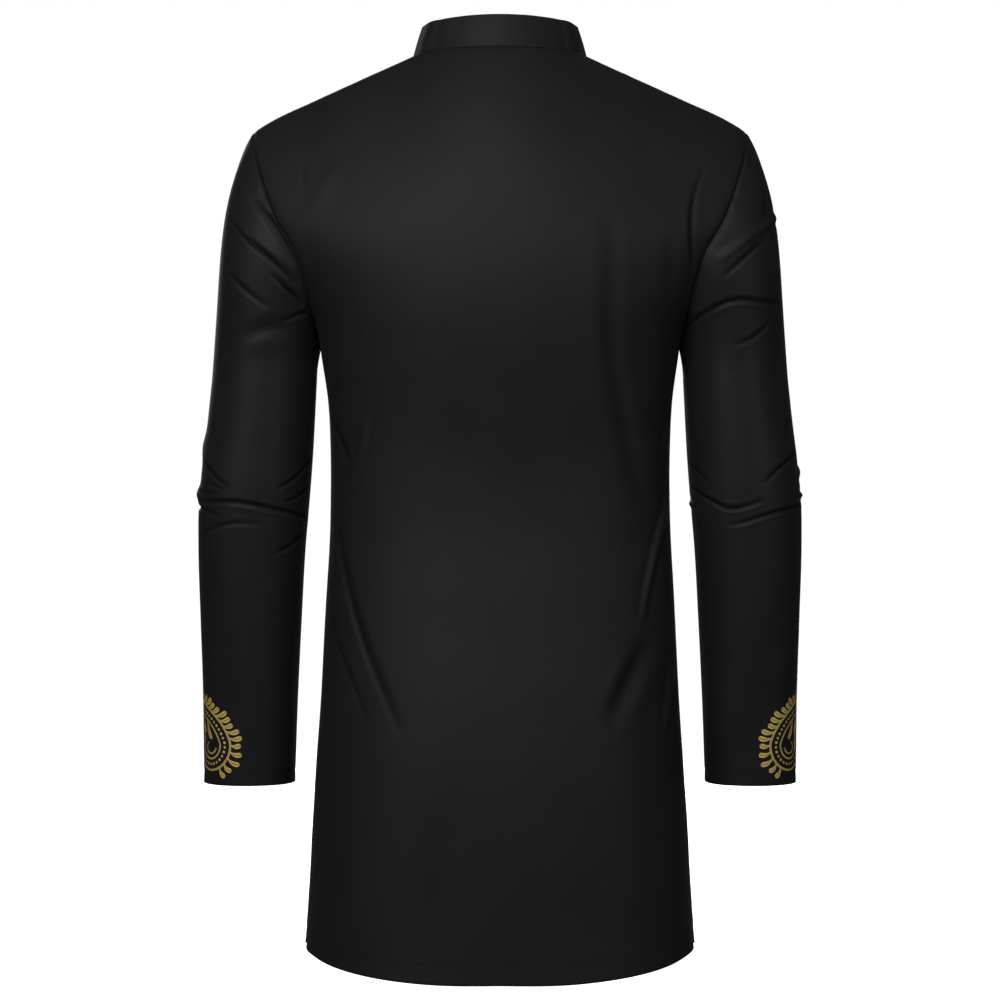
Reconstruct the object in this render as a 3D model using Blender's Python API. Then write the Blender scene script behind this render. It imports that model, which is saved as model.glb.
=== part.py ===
"""Long tunic shirt with a stand collar, worn and filled out, hanging from its wearer's shoulders.

+Z is up, the front faces -Y and the wearer's left is +X. The origin lies between the two points
where the shoulder seams meet the collar, which is where the wearer's shoulders hold the shirt.
Every piece of cloth is a thin wall. The sizes and tables below are in millimetres, and each
object's mesh is in metres.
"""

import math
from collections import namedtuple

import bpy
import numpy as np

MM = 0.001


class Table:
    """Rows of sizes with named columns, read on a smooth curve along the first column."""

    def __init__(self, columns, *rows):
        ordered = sorted(rows)
        self.columns = columns
        self.values = np.array(ordered)

    def at(self, column, place):
        """Return one column's values at places along the first column."""
        knots = self.values[:, 0]
        values = self.values[:, self.columns.index(column)]
        slopes = np.gradient(values, knots)
        place = np.clip(np.asarray(place, dtype=float), knots[0], knots[-1])
        index = np.clip(np.searchsorted(knots, place, side="right") - 1, 0, len(knots) - 2)
        span = knots[index + 1] - knots[index]
        part = (place - knots[index]) / span
        square = part * part
        cube = square * part
        return ((2.0 * cube - 3.0 * square + 1.0) * values[index]
                + (cube - 2.0 * square + part) * span * slopes[index]
                + (3.0 * square - 2.0 * cube) * values[index + 1]
                + (cube - square) * span * slopes[index + 1])


Fold = namedtuple("Fold", ("points", "half_width", "depth"))

# Cloth and seams
WALL = 1.3
SEAM_GAP = 0.4
LAYER_GAP = 0.35
LEAST_MITRE = 0.45
CORNER_WEIGHT = 0.5

# Lengths from the origin down
CHEST_Z = -275.0
VENT_Z = -683.0
HEM_Z = -857.5
SLOT_END_Z = -304.0
PLACKET_END_Z = -330.0

# Torso sections: height, half width, depth to the back, depth to the front
TORSO = Table(
    ("height", "half_width", "back", "front"),
    (-857.5, 183.5, 129.0, 121.0),
    (-795.0, 180.5, 128.0, 118.0),
    (-735.0, 178.0, 127.0, 115.0),
    (-683.0, 175.0, 125.0, 113.0),
    (-606.0, 169.5, 118.0, 110.0),
    (-520.0, 165.5, 106.0, 108.0),
    (-435.0, 161.0, 98.0, 110.0),
    (-380.0, 160.5, 100.0, 113.0),
    (-324.0, 163.0, 109.0, 117.0),
    (-275.0, 170.0, 117.0, 119.5),
    (-240.0, 170.0, 120.0, 120.5),
    (-200.0, 170.0, 120.0, 119.0),
    (-150.0, 170.0, 117.0, 113.0),
    (-100.0, 170.0, 115.5, 104.0),
    (-50.0, 170.0, 115.0, 90.0),
    (32.0, 170.0, 115.0, 80.0),
)
TORSO_ROUNDNESS = 2.35

# Above the underarm the body opens into the arms: height, half width that the section would have
OPENING_BACK = Table(
    ("height", "half_width"),
    (-295.0, 165.5), (-275.0, 170.0), (-265.0, 173.4), (-246.0, 185.0), (-220.0, 205.0),
    (-190.0, 240.0), (-160.0, 285.0), (-126.0, 320.0), (-60.0, 345.0), (32.0, 350.0),
)
OPENING_FRONT = Table(
    ("height", "half_width"),
    (-295.0, 165.5), (-275.0, 170.0), (-265.0, 173.4), (-248.0, 183.0), (-222.0, 201.0),
    (-190.0, 233.0), (-158.0, 280.0), (-122.0, 330.0), (-60.0, 370.0), (32.0, 380.0),
)
# How the body rounds over from the shoulder ridge: distance below it, share of the full depth
ROUNDING = Table(
    ("below", "share"),
    (0.0, 0.0), (3.0, 0.15), (10.0, 0.275), (20.0, 0.385), (29.0, 0.455), (45.0, 0.56),
    (78.0, 0.72), (110.0, 0.835), (144.0, 0.925), (180.0, 0.98), (215.0, 1.0), (330.0, 1.0),
)

# Heights of the panels' rows, from the hem up to the chest
LOWER_ROWS = (-857.5, -845.0, -828.0, -797.0, -766.0, -735.0, -708.0, -683.0, -655.0, -625.0,
              -595.0, -565.0, -535.0, -505.0, -475.0, -445.0, -415.0, -385.0, -355.0, -330.0,
              -304.0, -275.0)
UPPER_ROWS = 11
# Share of the half width past which the upper rows follow the armhole, and how they crowd upwards
EDGE_HOLD = 0.35
ROW_CROWDING = 1.35

# How far the tail hem rises towards the side vents: distance from the side, rise
HEM_RISE = Table(
    ("from_side", "rise"),
    (0.0, 16.5), (30.0, 15.8), (56.0, 14.0), (86.0, 9.5), (127.0, 4.5), (190.0, 0.0), (260.0, 0.0),
)
HEM_RISE_REACH = 90.0

# Side vents: how far each panel's edge stands from the side line at the hem
VENT_SPREAD = 5.0
VENT_FLARE = 1.5

# Shoulder ridge: distance from the middle, height. It runs on under the collar to the nape.
RIDGE = Table(
    ("across", "height"),
    (0.0, 32.0), (25.0, 28.0), (50.0, 18.0), (82.0, 1.5), (126.0, -18.5), (174.0, -40.0),
    (216.0, -59.5), (232.0, -69.0), (236.0, -71.5),
)
NECK_HALF = 82.0
TIP_HALF = 232.0
# Neckline, seen from behind or in front: distance from the middle, height
NECK_BACK = Table(
    ("across", "height"),
    (0.0, 3.0), (30.0, 3.2), (60.0, 3.0), (75.0, 2.0), (82.0, 1.5),
)
NECK_FRONT = Table(
    ("across", "height"),
    (0.0, -50.0), (20.0, -48.5), (40.0, -42.5), (60.0, -28.5), (75.0, -9.5), (80.5, -0.5),
    (82.0, 1.5),
)
FRONT_NECK_LENGTH = 131.0
NECK_SEGMENTS = 5
SHOULDER_SEGMENTS = 8

# Armhole seam from the underarm up to the shoulder tip: share of the way, x, z
ARMHOLE_BACK = Table(
    ("share", "across", "height"),
    (0.00, 170.0, -275.0),
    (0.12, 171.6, -265.0),
    (0.24, 175.5, -245.0),
    (0.37, 180.5, -220.0),
    (0.50, 190.0, -190.0),
    (0.64, 207.0, -160.0),
    (0.78, 220.0, -126.0),
    (0.90, 230.0, -92.0),
    (1.00, 232.0, -69.0),
)
ARMHOLE_FRONT = Table(
    ("share", "across", "height"),
    (0.00, 170.0, -275.0),
    (0.12, 171.0, -266.0),
    (0.24, 173.5, -248.0),
    (0.37, 177.0, -222.0),
    (0.50, 184.0, -191.0),
    (0.64, 198.0, -157.0),
    (0.78, 213.0, -122.0),
    (0.90, 227.0, -90.0),
    (1.00, 232.0, -69.0),
)
# Shares of the armhole at which the panels' upper rows and the sleeve's columns meet
ARMHOLE_STEPS = (0.0, 0.11, 0.205, 0.295, 0.385, 0.475, 0.565, 0.655, 0.745, 0.835, 0.92, 1.0)

# Sleeve sections: height, outer side, inner side, middle of the depth, half depth
SLEEVE = Table(
    ("height", "outer", "inner", "middle", "half_depth"),
    (-306.0, 272.5, 174.0, 1.0, 63.0),
    (-344.0, 276.5, 176.0, 2.0, 61.0),
    (-380.0, 281.0, 178.0, 3.0, 59.0),
    (-420.0, 285.0, 181.0, 3.0, 57.0),
    (-460.0, 286.0, 184.5, 0.0, 55.0),
    (-534.0, 285.0, 189.0, -8.0, 52.0),
    (-610.0, 283.5, 193.0, -17.0, 49.5),
    (-689.0, 283.5, 196.5, -26.0, 47.5),
)
SLEEVE_ROUNDNESS = 2.15
CAP_ROWS = 8
# How the sleeve leaves the armhole at its top, flanks and underarm: out, down, pull
CAP_TOP = (0.60, 0.80, 0.17)
CAP_FLANK = (0.80, 0.55, 0.30)
CAP_UNDERARM = (0.12, 1.00, 0.25)
CAP_SWELL = 0.22
# How the cap runs into the straight sleeve: mean lean outwards, its change round the sleeve, pull
CAP_END_LEAN = 0.045
CAP_END_FLARE = 0.03
CAP_END_PULL = 0.42
SLEEVE_ROWS = (-306.0, -326.0, -346.0, -364.0, -379.0, -391.0, -402.0, -413.0, -424.0, -435.0,
               -447.0, -460.0, -475.0, -494.0, -516.0, -540.0, -566.0, -594.0, -624.0, -654.0,
               -689.0)

# Collar stand
COLLAR_HEIGHT = 30.0
COLLAR_TOP_HALF = 73.5
COLLAR_TOP_BACK = 45.0
COLLAR_TOP_FRONT = -57.0
COLLAR_TOP_FRONT_Z = -22.0
COLLAR_TOP_SIDE_Z = 29.0
COLLAR_TOP_BACK_Z = 33.0
COLLAR_END_GAP = 0.3
COLLAR_ROWS = 3
COLLAR_END_CUT = Table(
    ("from_end", "drop"),
    (0.0, 9.0), (4.0, 3.0), (10.0, 0.6), (14.0, 0.0),
)

# Neck opening
SLOT_HALF = 14.0
PLACKET_HALF = 16.5
PLACKET_TOP_DROP = 1.0
STRIP_WALL = 1.2
BUTTON_RADIUS = 5.75
BUTTON_THICKNESS = 2.4
BUTTON_HEIGHTS = (-82.0, -152.0, -222.0)
BUTTON_SIDES = 20

# Folds of the body, seen from behind: points of side position and height, half width, depth.
# A ridge has a negative depth.
BACK_FOLDS = (
    Fold(((-104.0, -150.0), (-104.0, -230.0), (-105.0, -278.0), (-113.0, -327.0), (-125.0, -388.0),
          (-132.0, -419.0)), 16.0, 5.0),
    Fold(((151.0, -448.0), (142.0, -491.0), (122.5, -553.0), (106.0, -592.0), (89.0, -634.0)),
         13.0, 6.0),
    Fold(((156.0, -539.0), (152.0, -553.0), (127.0, -614.0), (122.0, -629.0)), 10.0, 3.5),
    Fold(((-135.0, -562.0), (-118.0, -594.0), (-106.0, -618.0)), 16.0, 6.5),
    Fold(((-162.0, -339.0), (-155.0, -371.0), (-147.0, -460.0), (-140.0, -497.0), (-135.0, -528.0)),
         10.0, -5.0),
    Fold(((-163.0, -572.0), (-157.0, -642.0)), 9.0, -3.0),
    Fold(((147.0, -244.0), (150.0, -291.0), (159.0, -314.0)), 11.0, -3.5),
    Fold(((128.0, -344.0), (132.0, -375.0), (144.0, -397.0)), 10.0, -3.5),
    Fold(((156.0, -349.0), (142.0, -380.0)), 9.0, 4.0),
    Fold(((-190.0, -115.0), (-182.0, -135.0), (-181.0, -165.0), (-178.0, -195.0)), 9.0, 4.5),
)
FRONT_FOLDS = (
    Fold(((118.0, -230.0), (106.0, -290.0), (112.0, -350.0), (126.0, -420.0)), 15.0, 5.0),
    Fold(((-112.0, -240.0), (-98.0, -300.0), (-106.0, -372.0)), 15.0, 4.5),
    Fold(((132.0, -470.0), (112.0, -540.0), (84.0, -620.0)), 14.0, 6.0),
    Fold(((-138.0, -500.0), (-110.0, -580.0), (-96.0, -640.0)), 14.0, 5.5),
)
# Folds of the sleeves: points of turn (0 outer side, 90 back, 180 inner side) and height
SLEEVE_FOLDS_LEFT = (
    Fold(((20.0, -421.0), (70.0, -421.0), (110.0, -429.0), (165.0, -438.0)), 7.5, 7.0),
    Fold(((0.0, -387.0), (40.0, -400.0), (62.0, -408.0)), 7.0, 4.5),
    Fold(((170.0, -385.0), (140.0, -400.0), (118.0, -412.0)), 7.0, 4.5),
    Fold(((10.0, -452.0), (50.0, -442.0), (92.0, -442.0)), 7.0, 4.0),
    Fold(((175.0, -448.0), (140.0, -464.0), (118.0, -471.0)), 7.0, 4.0),
    Fold(((60.0, -135.0), (82.0, -170.0), (112.0, -200.0)), 9.0, 6.0),
    Fold(((95.0, -206.0), (125.0, -230.0)), 8.0, 5.0),
    Fold(((20.0, -205.0), (50.0, -222.0), (75.0, -236.0)), 9.0, 3.5),
    Fold(((95.0, -246.0), (120.0, -242.0), (150.0, -240.0)), 8.0, 4.5),
    Fold(((250.0, -430.0), (285.0, -420.0), (330.0, -426.0)), 8.0, 5.5),
    Fold(((230.0, -465.0), (275.0, -448.0)), 8.0, 4.0),
    Fold(((225.0, -230.0), (265.0, -200.0), (300.0, -168.0)), 10.0, 5.0),
)
SLEEVE_FOLDS_RIGHT = (
    Fold(((160.0, -415.0), (125.0, -425.0), (88.0, -429.0), (50.0, -422.0)), 7.5, 7.0),
    Fold(((95.0, -440.0), (60.0, -431.0), (15.0, -420.0)), 7.0, 5.5),
    Fold(((20.0, -381.0), (45.0, -393.0), (68.0, -402.0)), 7.0, 4.5),
    Fold(((165.0, -388.0), (140.0, -402.0)), 7.0, 4.0),
    Fold(((165.0, -254.0), (120.0, -238.0), (82.0, -230.0), (40.0, -233.0)), 9.0, 6.0),
    Fold(((45.0, -160.0), (75.0, -184.0), (105.0, -206.0)), 10.0, 5.0),
    Fold(((25.0, -252.0), (52.0, -266.0), (80.0, -274.0)), 9.0, 3.5),
    Fold(((245.0, -424.0), (285.0, -434.0), (325.0, -428.0)), 8.0, 5.5),
    Fold(((235.0, -450.0), (280.0, -462.0)), 8.0, 4.0),
    Fold(((230.0, -235.0), (270.0, -210.0), (300.0, -180.0)), 10.0, 4.5),
)
SLEEVE_FOLD_RADIUS = 52.0
# Share of a fold's depth left at its ends, and how squarely the cloth must face back to be folded
FOLD_END_STRENGTH = 0.35
FOLD_LEAST_FACING = 0.15
FOLD_FACING_SPAN = 0.5

# Finishes: colour, roughness, metallic
CLOTH_FINISH = ((0.016, 0.016, 0.018), 0.48, 0.0)
BUTTON_FINISH = ((0.012, 0.012, 0.013), 0.3, 0.0)


def clear_scene():
    """Remove every object of the open file."""
    for item in list(bpy.data.objects):
        bpy.data.objects.remove(item, do_unlink=True)


def ease(share):
    """Return a smooth step from 0 to 1."""
    share = np.clip(share, 0.0, 1.0)
    return share * share * (3.0 - 2.0 * share)


def unit(vectors):
    """Return the vectors at length one."""
    length = np.linalg.norm(vectors, axis=-1, keepdims=True)
    return vectors / np.maximum(length, 1e-9)


def along(points, shares):
    """Return points at the given shares of a line's length."""
    steps = np.linalg.norm(np.diff(points, axis=0), axis=1)
    length = np.concatenate(([0.0], np.cumsum(steps)))
    wanted = np.asarray(shares) * length[-1]
    return np.stack([np.interp(wanted, length, points[:, axis]) for axis in range(3)], axis=1)


def bezier(start, start_pull, end_pull, end, part):
    """Return points on a cubic curve."""
    rest = 1.0 - part
    return (rest ** 3 * start + 3.0 * rest ** 2 * part * start_pull
            + 3.0 * rest * part ** 2 * end_pull + part ** 3 * end)


def torso_quarter(height, side, shares):
    """Return points from the centre line to the wearer's left side seam at one height."""
    half_width = TORSO.at("half_width", height)
    depth = TORSO.at("back" if side > 0 else "front", height)
    turn = np.linspace(math.pi / 2.0, 0.0, 181)
    power = 2.0 / TORSO_ROUNDNESS
    line = np.stack([half_width * np.maximum(np.cos(turn), 0.0) ** power,
                     side * depth * np.maximum(np.sin(turn), 0.0) ** power,
                     np.full_like(turn, height)], axis=1)
    return along(line, shares)


def body_depth(side, across, height):
    """Return how far back or forward the upper body lies at a place seen from behind."""
    below = np.maximum(RIDGE.at("height", across) - height, 0.0)
    full = TORSO.at("back" if side > 0 else "front", height)
    opening = (OPENING_BACK if side > 0 else OPENING_FRONT).at("half_width", height)
    section = np.maximum(1.0 - (across / opening) ** TORSO_ROUNDNESS, 0.0)
    rounding = ROUNDING.at("share", below)
    return side * full * rounding * section ** (1.0 / TORSO_ROUNDNESS)


def on_body(side, across, height):
    """Return points of the upper body at places seen from behind."""
    return np.stack([across, body_depth(side, across, height), height], axis=-1)


def neck_quarter(side, shares):
    """Return points of the neckline from the centre line to the wearer's left shoulder seam."""
    across = NECK_HALF * np.sin(np.linspace(0.0, math.pi / 2.0, 91))
    height = (NECK_BACK if side > 0 else NECK_FRONT).at("height", across)
    line = on_body(side, across, height)
    line[-1, 1] = 0.0
    return along(line, shares)


def shoulder_line(shares):
    """Return points of the shoulder seam from the neckline to the tip."""
    across = NECK_HALF + (TIP_HALF - NECK_HALF) * np.asarray(shares)
    return np.stack([across, 0.0 * across, RIDGE.at("height", across)], axis=1)


def armhole_line(side, shares):
    """Return points of the armhole seam from the underarm to the shoulder tip."""
    table = ARMHOLE_BACK if side > 0 else ARMHOLE_FRONT
    line = on_body(side, table.at("across", shares), table.at("height", shares))
    line[np.asarray(shares) <= 0.0, 1] = 0.0
    line[np.asarray(shares) >= 1.0, 1] = 0.0
    return line


def panel_shares(side):
    """Return the shares of the half width and of the neckline at which a panel's columns lie."""
    total = NECK_SEGMENTS + SHOULDER_SEGMENTS
    if side > 0:
        return np.arange(total + 1) / total, np.arange(NECK_SEGMENTS + 1) / NECK_SEGMENTS
    across = np.linspace(0.055, 1.0, total)
    neck = np.linspace(0.125, 1.0, NECK_SEGMENTS)
    return np.concatenate(([0.0], across)), np.concatenate(([0.0], neck))


def hem_rise(points, height):
    """Lift the lowest rows towards the side vents, where the tail hem curves up."""
    steps = np.linalg.norm(np.diff(points, axis=0), axis=1)
    from_side = np.concatenate((np.cumsum(steps[::-1])[::-1], [0.0]))
    rise = HEM_RISE.at("rise", from_side)
    fade = max(0.0, 1.0 - (height - HEM_Z) / HEM_RISE_REACH)
    points[:, 2] += rise * fade
    return points


def half_panel(side):
    """Return the wearer's left half of a body panel: rows from the hem up, columns outwards."""
    across, neck = panel_shares(side)
    lower = [hem_rise(torso_quarter(height, side, across), height) for height in LOWER_ROWS]
    chest = torso_quarter(CHEST_Z, side, across)
    shoulder = shoulder_line(np.arange(1, SHOULDER_SEGMENTS + 1) / SHOULDER_SEGMENTS)
    top = np.concatenate((neck_quarter(side, neck), shoulder))
    edge = armhole_line(side, ARMHOLE_STEPS)
    hold = ease((across - EDGE_HOLD) / (1.0 - EDGE_HOLD))
    upper = []
    for row in range(1, UPPER_ROWS):
        part = row / UPPER_ROWS
        rise = 1.0 - (1.0 - part) ** ROW_CROWDING
        out = chest[:, 0] + (top[:, 0] - chest[:, 0]) * ease(part)
        height = chest[:, 2] + (top[:, 2] - chest[:, 2]) * rise
        out += (edge[row, 0] - out[-1]) * hold
        height += (edge[row, 2] - height[-1]) * hold
        upper.append(on_body(side, out, height))
    return np.array(lower + upper + [top])


def mirrored(half):
    """Join a half to its mirror image, from the wearer's right to the left."""
    other = half[:, :0:-1].copy()
    other[:, :, 0] *= -1.0
    return np.concatenate((other, half), axis=1)


def sleeve_ring(height, turns):
    """Return one level section of the left sleeve at the given turns."""
    outer, inner, middle, half_depth = (SLEEVE.at(column, height)
                                        for column in SLEEVE.columns[1:])
    reach = 0.5 * (outer - inner)
    power = 2.0 / SLEEVE_ROUNDNESS
    level = np.cos(turns)
    depth = np.sin(turns)
    return np.stack([0.5 * (outer + inner) + reach * np.sign(level) * np.abs(level) ** power,
                     middle + half_depth * np.sign(depth) * np.abs(depth) ** power,
                     np.full_like(turns, height)], axis=1)


def sleeve_turns():
    """Return the turn of each sleeve column, from the outer side round by the back."""
    columns = 2 * UPPER_ROWS
    return np.arange(columns) * 2.0 * math.pi / columns


def sleeve_grid():
    """Return the left sleeve: rows from the armhole down to the hem, columns round it."""
    turns = sleeve_turns()
    steps = np.array(ARMHOLE_STEPS)[::-1]
    back = armhole_line(1, steps)
    front = armhole_line(-1, steps[::-1])
    ring = np.concatenate((back[:-1], front[:-1]))
    first = sleeve_ring(SLEEVE_ROWS[0], turns)
    top = np.maximum(np.cos(turns), 0.0)
    bottom = np.maximum(-np.cos(turns), 0.0)
    flank = np.abs(np.sin(turns))
    out, fall, pull = (CAP_TOP[part] * top + CAP_FLANK[part] * flank + CAP_UNDERARM[part] * bottom
                       for part in range(3))
    leaving = unit(np.stack([out, CAP_SWELL * np.sin(turns), -fall], axis=1))
    span = np.linalg.norm(first - ring, axis=1, keepdims=True)
    down = np.stack([CAP_END_LEAN + CAP_END_FLARE * np.cos(turns), 0.0 * turns,
                     -np.ones_like(turns)], axis=1)
    rows = [bezier(ring, ring + leaving * span * pull[:, None],
                   first - down * span * CAP_END_PULL, first, row / CAP_ROWS)
            for row in range(CAP_ROWS)]
    rows += [sleeve_ring(height, turns) for height in SLEEVE_ROWS]
    return np.array(rows)


def surface_normals(grid, around=False):
    """Return the normal at each point of a grid, not yet turned outwards."""
    if around:
        wide = np.concatenate((grid[:, -1:], grid, grid[:, :1]), axis=1)
        across = np.gradient(wide, axis=1)[:, 1:-1]
    else:
        across = np.gradient(grid, axis=1)
    return unit(np.cross(across, np.gradient(grid, axis=0)))


def fold_reach(places, path, width):
    """Return how strongly a fold acts at each place: one on its line, fading out beside it."""
    path = np.array(path)
    best = np.zeros(places.shape[:-1])
    lengths = np.linalg.norm(np.diff(path, axis=0), axis=1)
    total = lengths.sum()
    done = 0.0
    for start, end, length in zip(path[:-1], path[1:], lengths):
        line = end - start
        part = np.clip(((places - start) @ line) / (length * length), 0.0, 1.0)
        away = np.linalg.norm(places - (start + part[..., None] * line), axis=-1)
        way = (done + part * length) / total
        arch = np.sin(math.pi * np.clip(way, 0.0, 1.0))
        strength = FOLD_END_STRENGTH + (1.0 - FOLD_END_STRENGTH) * arch
        best = np.maximum(best, strength * np.exp(-(away / width) ** 2))
        done += length
    return best


def fold_panel(grid, side, folds):
    """Press the panel's folds into its grid, clear of its seams."""
    normals = surface_normals(grid)
    normals *= np.sign(side * normals[..., 1:2] + 1e-9)
    facing = ease((side * normals[..., 1] - FOLD_LEAST_FACING) / FOLD_FACING_SPAN)
    columns = grid.shape[1]
    from_edge = np.minimum(np.arange(columns), np.arange(columns)[::-1])
    calm = np.ones(grid.shape[:2])
    calm[len(LOWER_ROWS) - 2:] = ease(from_edge / 2.0)
    calm[-1] = 0.0
    depth = sum(fold.depth * fold_reach(grid[..., (0, 2)], fold.points, fold.half_width)
                for fold in folds)
    return grid - normals * (depth * facing * calm)[..., None]


def fold_sleeve(grid, folds):
    """Press the sleeve's folds into its grid, clear of the armhole."""
    normals = surface_normals(grid, around=True)
    middle = grid.mean(axis=1, keepdims=True)
    if ((grid - middle) * normals).sum() < 0.0:
        normals = -normals
    turns = np.degrees(sleeve_turns())
    calm = ease(np.arange(grid.shape[0]) / 3.0)[:, None]
    depth = np.zeros(grid.shape[:2])
    for fold in folds:
        flat = [(math.radians(turn) * SLEEVE_FOLD_RADIUS, height) for turn, height in fold.points]
        best = np.zeros(grid.shape[:2])
        for whole in (-360.0, 0.0, 360.0):
            way_round = np.radians(turns + whole)[None, :] * SLEEVE_FOLD_RADIUS
            places = np.stack(np.broadcast_arrays(way_round, grid[..., 2]), axis=-1)
            best = np.maximum(best, fold_reach(places, flat, fold.half_width))
        depth += fold.depth * best
    return grid - normals * (depth * calm)[..., None]


def collar_grid():
    """Return the collar stand: rows from the seam up, columns from its left end round the back."""
    back_neck = panel_shares(1)[1]
    front_neck = panel_shares(-1)[1]
    ends = COLLAR_END_CUT.values[:-1, 0] / FRONT_NECK_LENGTH
    front_shares = np.concatenate((ends, front_neck[1:]))
    base = np.concatenate((neck_quarter(-1, front_shares), neck_quarter(1, back_neck)[-2::-1]))
    front_y, back_y = base[0, 1], base[-1, 1]
    top_z = np.interp(base[:, 1], (front_y, 0.0, back_y),
                      (COLLAR_TOP_FRONT_Z, COLLAR_TOP_SIDE_Z, COLLAR_TOP_BACK_Z))
    narrowing = COLLAR_TOP_HALF / NECK_HALF
    deep = np.where(base[:, 1] > 0.0, COLLAR_TOP_BACK / back_y, COLLAR_TOP_FRONT / front_y)
    top = np.stack([base[:, 0] * narrowing, base[:, 1] * deep, top_z], axis=1)
    cut = np.zeros(len(base))
    cut[:len(COLLAR_END_CUT.values)] = COLLAR_END_CUT.values[:, 1]
    share = 1.0 - cut / COLLAR_HEIGHT
    rows = []
    for row in range(COLLAR_ROWS + 1):
        part = (row / COLLAR_ROWS) * share[:, None]
        rows.append(base + (top - base) * part)
    half = np.array(rows)
    half[:, 0, 0] += COLLAR_END_GAP
    other = half[:, -2::-1].copy()
    other[:, :, 0] *= -1.0
    return np.concatenate((half, other), axis=1)


class Piece:
    """One piece of cloth: its grid of outer points, what is cut out of it and its seams."""

    def __init__(self, name, grid, around=False, wall=WALL):
        self.name = name
        self.grid = grid
        self.around = around
        self.wall = wall
        self.shift = np.zeros_like(grid)
        rows, columns = grid.shape[:2]
        self.kept = np.ones((rows - 1, columns if around else columns - 1), dtype=bool)
        normals = surface_normals(grid, around)
        middle = grid.reshape(-1, 3).mean(axis=0)
        if ((grid - middle) * normals).sum() < 0.0:
            normals = -normals
        self.own = normals
        self.normals = normals.copy()
        self.weight = np.ones(grid.shape[:2])


def share_normals(pieces):
    """Give points that pieces have in common one normal, so that their rims face each other."""
    total = {}
    for piece in pieces:
        weighted = (piece.own * piece.weight[..., None]).reshape(-1, 3)
        for place, normal in zip(piece.grid.reshape(-1, 3), weighted):
            key = tuple(np.round(place, 3))
            total[key] = total.get(key, 0.0) + normal
    for piece in pieces:
        flat = piece.normals.reshape(-1, 3)
        for index, place in enumerate(piece.grid.reshape(-1, 3)):
            flat[index] = unit(total[tuple(np.round(place, 3))])


def open_seam(one, one_edge, one_next, other, other_edge, other_next, gap=SEAM_GAP):
    """Draw two pieces apart along the seam that joins them."""
    seam = one.grid[one_edge]
    apart = unit(one.grid[one_next] - seam) - unit(other.grid[other_next] - seam)
    line = unit(np.gradient(seam, axis=0))
    apart = unit(apart - line * (apart * line).sum(axis=1, keepdims=True))
    gaps = np.broadcast_to(np.asarray(gap, dtype=float), (len(apart),))[:, None]
    one.shift[one_edge] += apart * gaps * 0.5
    other.shift[other_edge] -= apart * gaps * 0.5


def cloth_solid(piece):
    """Build the closed wall of one piece."""
    outer = piece.grid + piece.shift
    lean = np.clip((piece.own * piece.normals).sum(axis=2, keepdims=True), LEAST_MITRE, 1.0)
    inner = outer - piece.normals * piece.wall / lean
    rows, columns = outer.shape[:2]
    points = np.concatenate((outer.reshape(-1, 3), inner.reshape(-1, 3)))
    under = rows * columns

    def number(row, column):
        return row * columns + column % columns

    def is_kept(row, column):
        inside = 0 <= row < piece.kept.shape[0]
        if piece.around:
            return inside and piece.kept[row, column % columns]
        return inside and 0 <= column < piece.kept.shape[1] and piece.kept[row, column]

    faces = []
    for row, column in zip(*np.nonzero(piece.kept)):
        a = number(row, column)
        b = number(row, column + 1)
        c = number(row + 1, column + 1)
        d = number(row + 1, column)
        faces += [(a, b, c), (a, c, d), (under + c, under + b, under + a),
                  (under + d, under + c, under + a)]
        sides = (((row - 1, column), a, b), ((row, column + 1), b, c),
                 ((row + 1, column), c, d), ((row, column - 1), d, a))
        for beyond, start, end in sides:
            if not is_kept(*beyond):
                faces += [(start, under + start, under + end), (start, under + end, end)]
    return solid_object(piece.name, points, faces, CLOTH_FINISH)


def finish_material(name, finish):
    """Return a material with the finish's colour, roughness and metallic value."""
    colour, roughness, metallic = finish
    material = bpy.data.materials.new(name)
    material.use_nodes = True
    shader = material.node_tree.nodes["Principled BSDF"]
    shader.inputs["Base Color"].default_value = (*colour, 1.0)
    shader.inputs["Roughness"].default_value = roughness
    shader.inputs["Metallic"].default_value = metallic
    material.diffuse_color = (*colour, 1.0)
    return material


def solid_object(name, points, faces, finish):
    """Add a closed solid, given in millimetres, with its faces turned outwards."""
    used = sorted({index for face in faces for index in face})
    fresh = {old: new for new, old in enumerate(used)}
    points = np.asarray(points)[used] * MM
    faces = np.array([[fresh[index] for index in face] for face in faces])
    first, second, third = (points[faces[:, corner]] for corner in range(3))
    if (first * np.cross(second, third)).sum() < 0.0:
        faces = faces[:, ::-1]
    mesh = bpy.data.meshes.new(name)
    mesh.from_pydata(points.tolist(), [], faces.tolist())
    mesh.update()
    mesh.shade_smooth()
    mesh.set_sharp_from_angle(angle=math.radians(50.0))
    item = bpy.data.objects.new(name, mesh)
    mesh.materials.append(finish_material(name + "_finish", finish))
    bpy.context.scene.collection.objects.link(item)
    return item


def row_at(height):
    """Return the index of a panel row by its height."""
    return LOWER_ROWS.index(height)


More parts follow.
